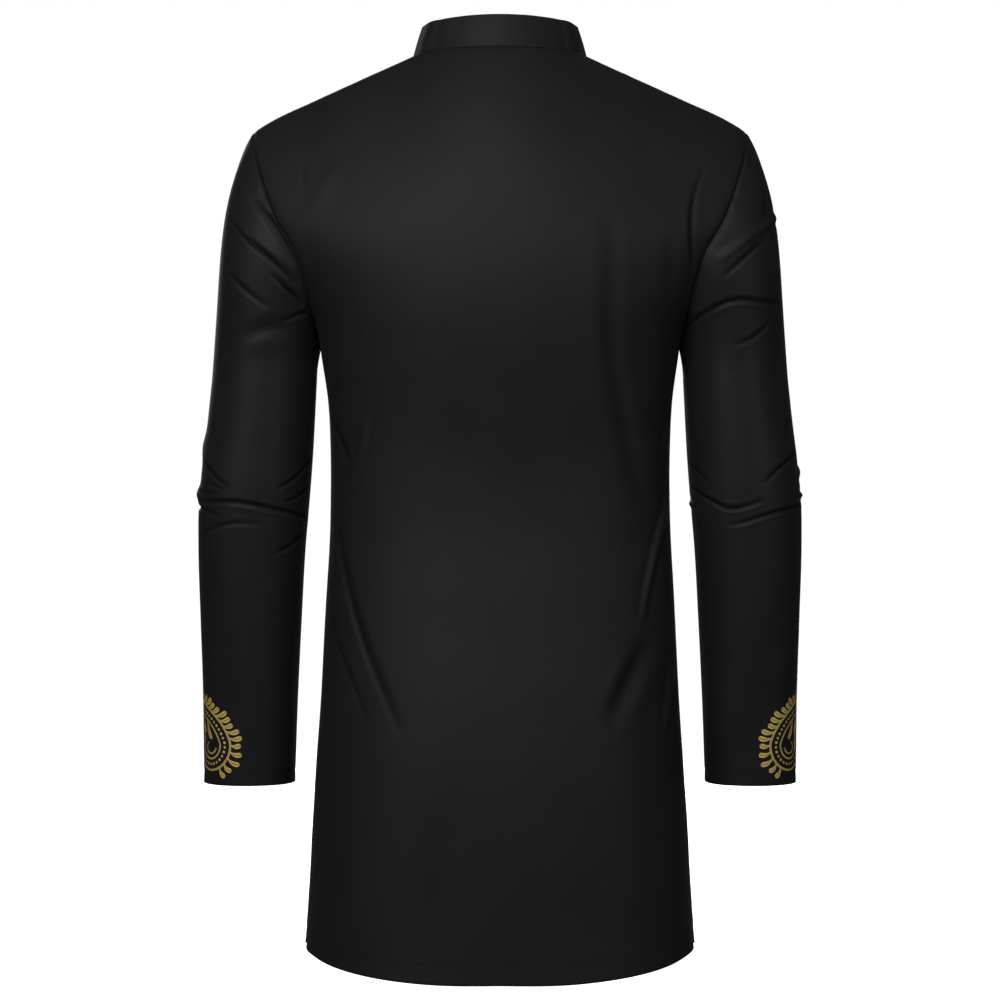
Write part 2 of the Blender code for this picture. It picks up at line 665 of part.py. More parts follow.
def sew_body(back, front):
    """Open the shoulder seams, side seams and vents between the two panels."""
    last = back.grid.shape[1] - 1
    vent_row = row_at(VENT_Z)
    chest_row = len(LOWER_ROWS) - 1
    rows = np.arange(vent_row, chest_row + 1)
    for column, inner in ((0, 1), (last, last - 1)):
        edge = (rows, np.full_like(rows, column))
        beside = (rows, np.full_like(rows, inner))
        open_seam(back, edge, beside, front, edge, beside)
        for row in range(vent_row):
            share = (VENT_Z - LOWER_ROWS[row]) / (VENT_Z - HEM_Z)
            out = 1.0 if column else -1.0
            spread = SEAM_GAP * 0.5 + VENT_SPREAD * share
            flare = VENT_FLARE * share
            back.shift[row, column] += (-out * flare, spread, 0.0)
            front.shift[row, column] += (out * flare, -spread, 0.0)
    top = back.grid.shape[0] - 1
    for columns in (np.arange(0, SHOULDER_SEGMENTS + 1),
                    np.arange(last - SHOULDER_SEGMENTS, last + 1)):
        edge = (np.full_like(columns, top), columns)
        beside = (np.full_like(columns, top - 1), columns)
        open_seam(back, edge, beside, front, edge, beside)


def sew_sleeve(sleeve, back, front, column, inner):
    """Open the armhole seam between a sleeve and both panels."""
    chest_row = len(LOWER_ROWS) - 1
    rows = np.arange(chest_row, chest_row + UPPER_ROWS + 1)
    for panel, turns in ((back, np.arange(UPPER_ROWS, -1, -1)),
                         (front, np.arange(UPPER_ROWS, 2 * UPPER_ROWS + 1) % (2 * UPPER_ROWS))):
        zeros = np.zeros_like(turns)
        beside = (rows.copy(), np.full_like(rows, inner))
        beside[0][0] = chest_row - 1
        beside[1][0] = column
        open_seam(sleeve, (zeros, turns), (zeros + 1, turns), panel,
                  (rows, np.full_like(rows, column)), beside)
        sleeve.shift[0, turns[0]] *= 0.5
        sleeve.shift[0, turns[-1]] *= 0.5 if panel is front else 1.0


def sew_collar(collar, back, front):
    """Open the neck seam between the collar stand and both panels."""
    top = back.grid.shape[0] - 1
    middle = NECK_SEGMENTS + SHOULDER_SEGMENTS
    count = collar.grid.shape[1]
    extra = len(COLLAR_END_CUT.values) - 2
    left = np.arange(middle + 1, middle + NECK_SEGMENTS + 1)
    from_left = np.arange(1 + extra, 1 + extra + NECK_SEGMENTS)
    for columns, places in ((left, from_left), (2 * middle - left, count - 1 - from_left)):
        rows = np.full_like(columns, top)
        zeros = np.zeros_like(places)
        open_seam(collar, (zeros, places), (zeros + 1, places), front, (rows, columns),
                  (rows - 1, columns))
    columns = np.arange(middle + NECK_SEGMENTS, middle - NECK_SEGMENTS - 1, -1)
    places = np.arange(from_left[-1], from_left[-1] + len(columns))
    rows = np.full_like(columns, top)
    zeros = np.zeros_like(places)
    open_seam(collar, (zeros, places), (zeros + 1, places), back, (rows, columns),
              (rows - 1, columns))
    ends = np.arange(0, 1 + extra)
    for places in (ends, count - 1 - ends):
        collar.shift[0, places] += (0.0, 0.0, SEAM_GAP * 0.5)


def strip_grid(front, outwards):
    """Return a strip over the neck opening, made from the front panel's points and moved off it."""
    middle = NECK_SEGMENTS + SHOULDER_SEGMENTS
    grid = front.grid
    first = row_at(PLACKET_END_Z)
    columns = []
    for out in (-1, 1):
        near = grid[first:, middle + out]
        far = grid[first:, middle + 2 * out]
        normal_near = front.normals[first:, middle + out]
        width = np.linalg.norm(far - near, axis=1, keepdims=True)
        edge = near + (far - near) * (PLACKET_HALF - SLOT_HALF) / width
        columns.append((edge, normal_near))
        columns.append((near, normal_near))
    columns[2:] = columns[:1:-1]
    columns.insert(2, (grid[first:, middle], front.normals[first:, middle]))
    strip = np.stack([points for points, _ in columns], axis=1)
    normals = unit(np.stack([normals for _, normals in columns], axis=1))
    strip[-1] -= unit(strip[-1] - strip[-2]) * PLACKET_TOP_DROP
    lift = LAYER_GAP + STRIP_WALL if outwards else -(WALL + LAYER_GAP)
    return strip + normals * lift


def button_object(name, place, outwards):
    """Turn one button and seat it on the outer strip."""
    radius = BUTTON_RADIUS
    thick = BUTTON_THICKNESS
    profile = ((radius * 0.80, 0.0), (radius * 0.97, thick * 0.25), (radius, thick * 0.55),
               (radius * 0.93, thick * 0.92), (radius * 0.80, thick), (radius * 0.62, thick * 0.72))
    outwards = unit(outwards)
    across = unit(np.cross((0.0, 0.0, 1.0), outwards))
    up = np.cross(outwards, across)
    points = [place, place + outwards * profile[-1][1]]
    for step in range(BUTTON_SIDES):
        turn = 2.0 * math.pi * step / BUTTON_SIDES
        spoke = across * math.cos(turn) + up * math.sin(turn)
        points += [place + spoke * reach + outwards * height for reach, height in profile]
    faces = []
    rings = len(profile)
    for step in range(BUTTON_SIDES):
        here = 2 + step * rings
        there = 2 + (step + 1) % BUTTON_SIDES * rings
        faces.append((0, there, here))
        faces.append((1, here + rings - 1, there + rings - 1))
        for ring in range(rings - 1):
            faces.append((here + ring, there + ring, there + ring + 1))
            faces.append((here + ring, there + ring + 1, here + ring + 1))
    return solid_object(name, points, faces, BUTTON_FINISH)


def add_buttons(strip, wall):
    """Seat the buttons down the middle of the outer strip."""
    middle = strip.grid[:, 2]
    facing = strip.normals[:, 2]
    order = np.argsort(middle[:, 2])
    for number, height in enumerate(BUTTON_HEIGHTS, start=1):
        place = np.array([np.interp(height, middle[order, 2], middle[order, axis])
                          for axis in range(3)])
        outwards = np.array([np.interp(height, middle[order, 2], facing[order, axis])
                             for axis in range(3)])
        button_object("button_" + str(number), place + unit(outwards) * wall, outwards)


def build_shirt():
    """Model the shirt piece by piece."""
    back = Piece("back_panel", fold_panel(mirrored(half_panel(1)), 1, BACK_FOLDS))
    front = Piece("front_panel", fold_panel(mirrored(half_panel(-1)), -1, FRONT_FOLDS))
    base = sleeve_grid()
    left = Piece("sleeve_left", fold_sleeve(base, SLEEVE_FOLDS_LEFT), around=True)
    turned = fold_sleeve(base, SLEEVE_FOLDS_RIGHT)
    turned[..., 0] *= -1.0
    right = Piece("sleeve_right", turned, around=True)
    collar = Piece("collar_stand", collar_grid())
    pieces = (back, front, left, right, collar)
    middle = NECK_SEGMENTS + SHOULDER_SEGMENTS
    for panel in (back, front):
        panel.weight[len(LOWER_ROWS) - 1, (0, -1)] = CORNER_WEIGHT
        panel.weight[-1, (0, SHOULDER_SEGMENTS, -1 - SHOULDER_SEGMENTS, -1)] = CORNER_WEIGHT
    share_normals(pieces)

    front.kept[row_at(SLOT_END_Z):, middle - 1:middle + 1] = False
    last = back.grid.shape[1] - 1
    sew_body(back, front)
    sew_sleeve(left, back, front, last, last - 1)
    sew_sleeve(right, back, front, 0, 1)
    sew_collar(collar, back, front)
    over = Piece("placket_over", strip_grid(front, True), wall=STRIP_WALL)
    under = Piece("placket_under", strip_grid(front, False), wall=STRIP_WALL)
    for piece in pieces + (over, under):
        cloth_solid(piece)
    add_buttons(over, LAYER_GAP)


clear_scene()
build_shirt()
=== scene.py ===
"""Dresses the long tunic shirt in its cloth, seams, stitching, cuff print and buttons.

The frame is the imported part: +Z up, the front towards -Y and the wearer's left towards +X. The
tables and sizes are in millimetres, and the meshes are in metres.
"""

import logging
import math
from dataclasses import dataclass, field
from enum import Enum
from typing import ClassVar

import bpy
import numpy as np
from bpy.types import Material, NodeSocket, Object
from mathutils import Matrix, Vector


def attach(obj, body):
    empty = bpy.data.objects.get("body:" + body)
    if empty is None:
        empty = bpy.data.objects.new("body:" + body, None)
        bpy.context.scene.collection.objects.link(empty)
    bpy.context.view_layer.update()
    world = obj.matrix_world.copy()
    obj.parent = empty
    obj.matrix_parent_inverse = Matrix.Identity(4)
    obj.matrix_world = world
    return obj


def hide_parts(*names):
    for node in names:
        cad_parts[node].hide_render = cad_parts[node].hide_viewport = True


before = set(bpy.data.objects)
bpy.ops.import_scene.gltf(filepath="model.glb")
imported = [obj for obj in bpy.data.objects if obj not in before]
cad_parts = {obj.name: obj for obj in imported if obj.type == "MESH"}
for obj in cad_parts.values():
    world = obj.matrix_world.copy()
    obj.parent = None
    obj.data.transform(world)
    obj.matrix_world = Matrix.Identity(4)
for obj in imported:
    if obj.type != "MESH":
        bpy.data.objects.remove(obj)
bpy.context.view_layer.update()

LOG = logging.getLogger("tunic_shirt")

MM = 0.001
BODY = "root"
FAR = 1e3
SPRAY_PLACES = {"left": -12, "right": 6}
MIRROR = np.array([-1, 1, 1])

Array = Points = np.ndarray
Pair = tuple[float, float]
Colour = tuple[float, float, float]


class Side(Enum):
    """A face of the shirt: the value is the sign of its depth."""

    BACK = 1
    FRONT = -1


class Hand(Enum):
    """A side of the wearer: the value is the sign of its distance from the middle."""

    LEFT = 1
    RIGHT = -1


class Slot(Enum):
    """The record's material slots."""

    BODY_CLOTH = "body_cloth"
    SLEEVE_CLOTH = "sleeve_cloth"
    BUTTON = "button"


def ease(share: Array) -> Array:
    """Return a smooth step from 0 to 1, held outside it."""
    share = np.clip(share, 0, 1)
    return share * share * (3 - 2 * share)


def unit(vectors: Array) -> Array:
    """Return the vectors along the last axis at length one."""
    length = np.linalg.norm(vectors, axis=-1, keepdims=True)
    return vectors / np.maximum(length, 1e-9)


def path_lengths(points: Array) -> Array:
    """Return each point's distance from a line's start."""
    steps = np.linalg.norm(np.diff(points, axis=0), axis=1)
    return np.concatenate(([0], np.cumsum(steps)))


def read_along(lengths: Array, table: Array, wanted: Array) -> Array:
    """Return rows of a table at distances along the line that it belongs to."""
    return np.stack([np.interp(wanted, lengths, column) for column in table.T], axis=1)


def along(points: Points, shares: Array) -> Points:
    """Return points at the given shares of a line's length."""
    lengths = path_lengths(points)
    return read_along(lengths, points, np.asarray(shares) * lengths[-1])


def bell(distance: Array, reach: float) -> Array:
    """Return 1 at no distance, fading smoothly to 0 beyond the reach."""
    return np.exp(-((distance / reach) ** 2))


def refined(values: tuple[float, ...], pieces: int) -> Array:
    """Split each step between values into equal smaller steps."""
    places = np.arange((len(values) - 1) * pieces + 1) / pieces
    return np.interp(places, np.arange(len(values)), values)


def gentle_waves(across: Array, up: Array, length: float, phase: float) -> Array:
    """Return slow uneven waves, the same ones each time.

    Args:
        across: Places across the cloth, in millimetres.
        up: Places up the cloth, in millimetres.
        length: Typical wave length, in millimetres.
        phase: Moves the waves, so that pieces differ.

    Returns:
        Heights from about -1 to 1.
    """
    turn = 2 * math.pi / length
    waves = (
        (1.00, 0.31, 0, 0.40),
        (-0.62, 0.94, 1.7, 0.30),
        (1.43, -0.58, 3.1, 0.18),
        (0.37, 1.61, 4.4, 0.12),
    )
    return sum(
        size * np.sin(turn * (a * across + b * up) + shift + phase * (1 + a))
        for a, b, shift, size in waves
    )


@dataclass(frozen=True)
class SizeTable:
    """Rows of sizes with named columns, read on a smooth curve along the first column."""

    columns: tuple[str, ...]
    rows: tuple[tuple[float, ...], ...]

    def at(self, column: str, place: Array | float) -> Array:
        """Return one column's values.

        Args:
            column: The column's name.
            place: Places along the first column.

        Returns:
            The smoothed values there.
        """
        table = np.array(sorted(self.rows))
        knots = table[:, 0]
        values = table[:, self.columns.index(column)]
        slopes = np.gradient(values, knots)
        place = np.clip(np.asarray(place, dtype=float), knots[0], knots[-1])
        index = np.clip(np.searchsorted(knots, place, side="right") - 1, 0, len(knots) - 2)
        span = knots[index + 1] - knots[index]
        part = (place - knots[index]) / span
        square = part * part
        cube = square * part
        return (
            (2 * cube - 3 * square + 1) * values[index]
            + (cube - 2 * square + part) * span * slopes[index]
            + (3 * square - 2 * cube) * values[index + 1]
            + (cube - square) * span * slopes[index + 1]
        )


@dataclass(frozen=True)
class Crease:
    """One soft trough, or a ridge where the depth is negative, with lower swells beside it and a
    painted shade along its trough.
    """

    line: tuple[Pair, ...]
    half_width: float
    depth: float
    lip: float = 0.3
    lean: float = 0
    end_hold: ClassVar[float] = 0.06
    end_power: ClassVar[float] = 0.75
    swell_place: ClassVar[float] = 1.9
    # Width and strength of the painted shade along the trough.
    shade_share: ClassVar[float] = 0.6
    shade_gain: ClassVar[float] = 1.25

    def smooth_line(self) -> Array:
        """Return the line with its corners cut twice."""
        path = np.array(self.line, dtype=float)
        for _ in range(2):
            if len(path) > 2:
                near = 0.75 * path[:-1] + 0.25 * path[1:]
                far = 0.25 * path[:-1] + 0.75 * path[1:]
                inner = np.stack([near, far], axis=1).reshape(-1, 2)
                path = np.concatenate((path[:1], inner[1:-1], path[-1:]))
        return path

    def height_at(self, places: Array) -> tuple[Array, Array]:
        """Return how far the crease lifts the cloth, and the painted shade that its trough gets.

        Args:
            places: Places across and up the cloth, in millimetres, along the last axis.

        Returns:
            The lift at each place, below zero in a trough, and a painted shade from 0 to 1.
        """
        path = self.smooth_line()
        lengths = np.linalg.norm(np.diff(path, axis=0), axis=1)
        total = lengths.sum()
        nearest = np.full(places.shape[:-1], np.inf)
        way = np.zeros(places.shape[:-1])
        hand = np.ones(places.shape[:-1])
        done = 0
        for start, end, length in zip(path[:-1], path[1:], lengths):
            line = end - start
            offset = places - start
            part = np.clip((offset @ line) / (length * length), 0, 1)
            away = np.linalg.norm(offset - part[..., None] * line, axis=-1)
            closer = away < nearest
            nearest = np.where(closer, away, nearest)
            way = np.where(closer, (done + part * length) / total, way)
            turned = np.sign(offset[..., 0] * line[1] - offset[..., 1] * line[0])
            hand = np.where(closer, turned, hand)
            done += length
        part = self.end_hold + (1 - 2 * self.end_hold) * way
        strength = np.sin(math.pi * np.clip(part, 0, 1)) ** self.end_power
        width = self.half_width * (1 + self.lean * hand)
        trough = bell(nearest, width)
        swell = bell(nearest - self.swell_place * width, width) * (1 + self.lean * hand)
        lift = strength * self.depth * (self.lip * swell - trough)
        # Painted shade for the base colour: a bell narrower than the trough, darker for deep narrow
        # creases.
        sharp = np.clip(self.shade_gain * self.depth / self.half_width, 0, self.shade_gain)
        return lift, strength * sharp * bell(nearest, self.shade_share * width)


@dataclass
class BodyForm:
    """The shape of the worn body: torso sections, upper body, neckline, shoulders and armholes."""

    roundness: float = 2.35
    chest_z: float = -275
    hem_z: float = -857.5
    vent_z: float = -683
    slot_end_z: float = -304
    neck_half: float = 82
    tip_half: float = 232
    edge_hold: float = 0.35
    row_crowding: float = 1.35
    hem_rise_reach: float = 90
    vent_spread: float = 5
    vent_flare: float = 1.5
    neck_segments: int = 5
    shoulder_segments: int = 8
    armhole_segments: int = 11
    slot_share: float = 0.055
    slot_neck_share: float = 0.125
    torso: SizeTable = SizeTable(
        ("height", "half_width", "back", "front"),
        (
            (-857.5, 183.5, 129, 121), (-795, 180.5, 128, 118),
            (-735, 178, 127, 115), (-683, 175, 125, 113),
            (-606, 169.5, 118, 110), (-520, 165.5, 106, 108),
            (-435, 161, 98, 110), (-380, 160.5, 100, 113),
            (-324, 163, 109, 117), (-275, 170, 117, 119.5),
            (-240, 170, 120, 120.5), (-200, 170, 120, 119),
            (-150, 170, 117, 113), (-100, 170, 115.5, 104),
            (-50, 170, 115, 90), (32, 170, 115, 80),
        ),
    )
    opening_back: SizeTable = SizeTable(
        ("height", "half_width"),
        ((-295, 165.5), (-275, 170), (-265, 173.4), (-246, 185), (-220, 205),
         (-190, 240), (-160, 285), (-126, 320), (-60, 345), (32, 350)),
    )
    opening_front: SizeTable = SizeTable(
        ("height", "half_width"),
        ((-295, 165.5), (-275, 170), (-265, 173.4), (-248, 183), (-222, 201),
         (-190, 233), (-158, 280), (-122, 330), (-60, 370), (32, 380)),
    )
    rounding: SizeTable = SizeTable(
        ("below", "share"),
        ((0, 0), (3, 0.15), (10, 0.275), (20, 0.385), (29, 0.455), (45, 0.56),
         (78, 0.72), (110, 0.835), (144, 0.925), (180, 0.98), (215, 1), (330, 1)),
    )
    ridge: SizeTable = SizeTable(
        ("across", "height"),
        ((-25, 28), (0, 32), (25, 28), (50, 18), (82, 1.5), (126, -18.5), (174, -40),
         (216, -59.5), (232, -69), (236, -71.5)),
    )
    neck_back: SizeTable = SizeTable(
        ("across", "height"), ((0, 3), (30, 3.2), (60, 3), (75, 2), (82, 1.5))
    )
    neck_front: SizeTable = SizeTable(
        ("across", "height"),
        ((0, -50), (20, -48.5), (40, -42.5), (60, -28.5), (75, -9.5), (80.5, -0.5),
         (82, 1.5)),
    )
    armhole_back: SizeTable = SizeTable(
        ("share", "across", "height"),
        ((0.00, 170, -275), (0.12, 171.6, -265), (0.24, 175.5, -245),
         (0.37, 180.5, -220), (0.50, 190, -190), (0.64, 207, -160),
         (0.78, 220, -126), (0.90, 230, -92), (1.00, 232, -69)),
    )
    armhole_front: SizeTable = SizeTable(
        ("share", "across", "height"),
        ((0.00, 170, -275), (0.12, 171, -266), (0.24, 173.5, -248),
         (0.37, 177, -222), (0.50, 184, -191), (0.64, 198, -157),
         (0.78, 213, -122), (0.90, 227, -90), (1.00, 232, -69)),
    )
    armhole_steps: tuple[float, ...] = (
        0, 0.11, 0.205, 0.295, 0.385, 0.475, 0.565, 0.655, 0.745, 0.835, 0.92, 1,
    )
    hem_rise: SizeTable = SizeTable(
        ("from_side", "rise"),
        ((0, 16.5), (30, 15.8), (56, 14), (86, 9.5), (127, 4.5), (190, 0),
         (260, 0)),
    )

    def section(self, side: Side, height: float, shares: Array) -> Points:
        """Return points of a level section from the centre line to the wearer's left side.

        Args:
            side: Back or front.
            height: Height of the section.
            shares: Shares of the way round.

        Returns:
            The points in order.
        """
        half_width = self.torso.at("half_width", height)
        depth = self.torso.at("back" if side is Side.BACK else "front", height)
        turn = np.linspace(math.pi / 2, 0, 181)
        power = 2 / self.roundness
        line = np.stack(
            [
                half_width * np.maximum(np.cos(turn), 0) ** power,
                side.value * depth * np.maximum(np.sin(turn), 0) ** power,
                np.full_like(turn, height),
            ],
            axis=1,
        )
        return along(line, shares)

    def on_body(self, side: Side, across: Array, height: Array) -> Points:
        """Return points of the upper body at places seen from behind.

        Args:
            side: Back or front.
            across: Distances from the middle.
            height: Heights.

        Returns:
            The points, with their depth from the ridge, the rounding and the opening.
        """
        table = self.opening_back if side is Side.BACK else self.opening_front
        below = np.maximum(self.ridge.at("height", across) - height, 0)
        full = self.torso.at("back" if side is Side.BACK else "front", height)
        bow = np.maximum(1 - (across / table.at("half_width", height)) ** self.roundness, 0)
        depth = side.value * full * self.rounding.at("share", below) * bow ** (1 / self.roundness)
        return np.stack([across, depth, height], axis=-1)

    def neckline(self, side: Side, shares: Array) -> Points:
        """Return points of the neckline from the centre line to the wearer's left shoulder.

        Args:
            side: Back or front.
            shares: Shares of the way.

        Returns:
            The points in order.
        """
        across = self.neck_half * np.sin(np.linspace(0, math.pi / 2, 91))
        table = self.neck_back if side is Side.BACK else self.neck_front
        line = self.on_body(side, across, table.at("height", across))
        line[-1, 1] = 0
        return along(line, shares)

    def shoulder(self, shares: Array) -> Points:
        """Return points of the shoulder seam from the neckline to the tip."""
        across = self.neck_half + (self.tip_half - self.neck_half) * np.asarray(shares)
        return np.stack([across, 0 * across, self.ridge.at("height", across)], axis=1)

    def armhole(self, side: Side, shares: Array) -> Points:
        """Return points of the armhole seam from the underarm to the shoulder tip.

        Args:
            side: Back or front.
            shares: Shares of the way.

        Returns:
            The points in order.
        """
        table = self.armhole_back if side is Side.BACK else self.armhole_front
        line = self.on_body(side, table.at("across", shares), table.at("height", shares))
        line[(np.asarray(shares) <= 0) | (np.asarray(shares) >= 1), 1] = 0
        return line

    def column_shares(self, side: Side, fineness: int) -> tuple[Array, Array]:
        """Return where a panel's columns lie across its half and along its neckline.

        Args:
            side: Back or front. The front has a column at the edge of its slot.
            fineness: Columns for each large step.

        Returns:
            Shares of the half width and shares of the neckline.
        """
        total = self.neck_segments + self.shoulder_segments
        if side is Side.BACK:
            across = np.arange(total + 1) / total
            neck = np.arange(self.neck_segments + 1) / self.neck_segments
        else:
            across = np.concatenate(([0], np.linspace(self.slot_share, 1, total)))
            neck = np.concatenate(([0], np.linspace(self.slot_neck_share, 1, self.neck_segments)))
        return refined(tuple(across), fineness), refined(tuple(neck), fineness)

    def half_panel(self, side: Side, heights: Array, fineness: int, rows: int) -> Points:
        """Return the wearer's left half of a panel.

        Args:
            side: Back or front.
            heights: Heights of the rows from the hem up to the chest.
            fineness: Columns for each large step.
            rows: Rows for each large step above the chest.

        Returns:
            Rows from the hem up, columns outwards.
        """
        across, neck = self.column_shares(side, fineness)
        lower = []
        for height in heights:
            line = self.section(side, height, across)
            from_side = path_lengths(line[::-1])[::-1]
            fade = max(0, 1 - (height - self.hem_z) / self.hem_rise_reach)
            line[:, 2] += self.hem_rise.at("rise", from_side) * fade
            lower.append(line)
        chest = self.section(side, self.chest_z, across)
        count = self.shoulder_segments * fineness
        top = np.concatenate(
            (self.neckline(side, neck), self.shoulder(np.arange(1, count + 1) / count))
        )
        edge = self.armhole(side, refined(self.armhole_steps, rows))
        hold = ease((across - self.edge_hold) / (1 - self.edge_hold))
        upper = []
        total = self.armhole_segments * rows
        for row in range(1, total):
            part = row / total
            rise = 1 - (1 - part) ** self.row_crowding
            out = chest[:, 0] + (top[:, 0] - chest[:, 0]) * ease(part)
            height = chest[:, 2] + (top[:, 2] - chest[:, 2]) * rise
            out = out + (edge[row, 0] - out[-1]) * hold
            height = height + (edge[row, 2] - height[-1]) * hold
            upper.append(self.on_body(side, out, height))
        return np.array(lower + upper + [top])


@dataclass
class SleeveForm:
    """The shape of a worn sleeve: a cap from the armhole and level sections down to the hem."""

    body: BodyForm
    roundness: float = 2.15
    cap_top: tuple[float, float, float] = (0.60, 0.80, 0.17)
    cap_flank: tuple[float, float, float] = (0.80, 0.55, 0.30)
    cap_underarm: tuple[float, float, float] = (0.12, 1.00, 0.25)
    cap_swell: float = 0.22
    cap_end_lean: float = 0.045
    cap_end_flare: float = 0.03
    cap_end_pull: float = 0.42
    first_z: float = -306
    hem_z: float = -689
    sections: SizeTable = SizeTable(
        ("height", "outer", "inner", "middle", "half_depth"),
        (
            (-306, 272.5, 174, 1, 63), (-344, 276.5, 176, 2, 61),
            (-380, 281, 178, 3, 59), (-420, 285, 181, 3, 57),
            (-460, 286, 184.5, 0, 55), (-534, 285, 189, -8, 52),
            (-610, 283.5, 193, -17, 49.5), (-689, 283.5, 196.5, -26, 47.5),
        ),
    )

    def ring(self, height: float, turns: Array) -> Points:
        """Return a level section of the left sleeve.

        Args:
            height: Height of the section.
            turns: Turns from the outer side round by the back, in radians.

        Returns:
            One point for each turn.
        """
        outer, inner, middle, half_depth = (
            self.sections.at(column, height) for column in self.sections.columns[1:]
        )
        power = 2 / self.roundness
        level = np.cos(turns)
        depth = np.sin(turns)
        reach = 0.5 * (outer - inner)
        return np.stack(
            [
                0.5 * (outer + inner) + reach * np.sign(level) * np.abs(level) ** power,
                middle + half_depth * np.sign(depth) * np.abs(depth) ** power,
                np.full_like(turns, height),
            ],
            axis=1,
        )

    def grid(self, fineness: int, cap_rows: int, heights: Array) -> Points:
        """Return the left sleeve from its hem up to the armhole.

        Args:
            fineness: Columns for each large step of the armhole.
            cap_rows: Rows of the cap.
            heights: Heights of the level rows, from the top one down.

        Returns:
            Rows from the hem up, columns round from the outer side by the back.
        """
        steps = refined(self.body.armhole_steps, fineness)
        count = 2 * (len(steps) - 1)
        turns = np.arange(count) * 2 * math.pi / count
        back = self.body.armhole(Side.BACK, steps[::-1])
        front = self.body.armhole(Side.FRONT, steps)
        start = np.concatenate((back[:-1], front[:-1]))
        first = self.ring(self.first_z, turns)
        top = np.maximum(np.cos(turns), 0)
        bottom = np.maximum(-np.cos(turns), 0)
        flank = np.abs(np.sin(turns))
        out, fall, pull = (
            self.cap_top[part] * top
            + self.cap_flank[part] * flank
            + self.cap_underarm[part] * bottom
            for part in range(3)
        )
        leaving = unit(np.stack([out, self.cap_swell * np.sin(turns), -fall], axis=1))
        span = np.linalg.norm(first - start, axis=1, keepdims=True)
        lean = self.cap_end_lean + self.cap_end_flare * np.cos(turns)
        down = np.stack([lean, 0 * turns, -np.ones_like(turns)], axis=1)
        start_pull = start + leaving * span * pull[:, None]
        end_pull = first - down * span * self.cap_end_pull
        rows = []
        for row in range(cap_rows):
            part = row / cap_rows
            rest = 1 - part
            rows.append(
                rest**3 * start
                + 3 * rest**2 * part * start_pull
                + 3 * rest * part**2 * end_pull
                + part**3 * first
            )
        rows += [self.ring(height, turns) for height in heights]
        return np.array(rows)[::-1]


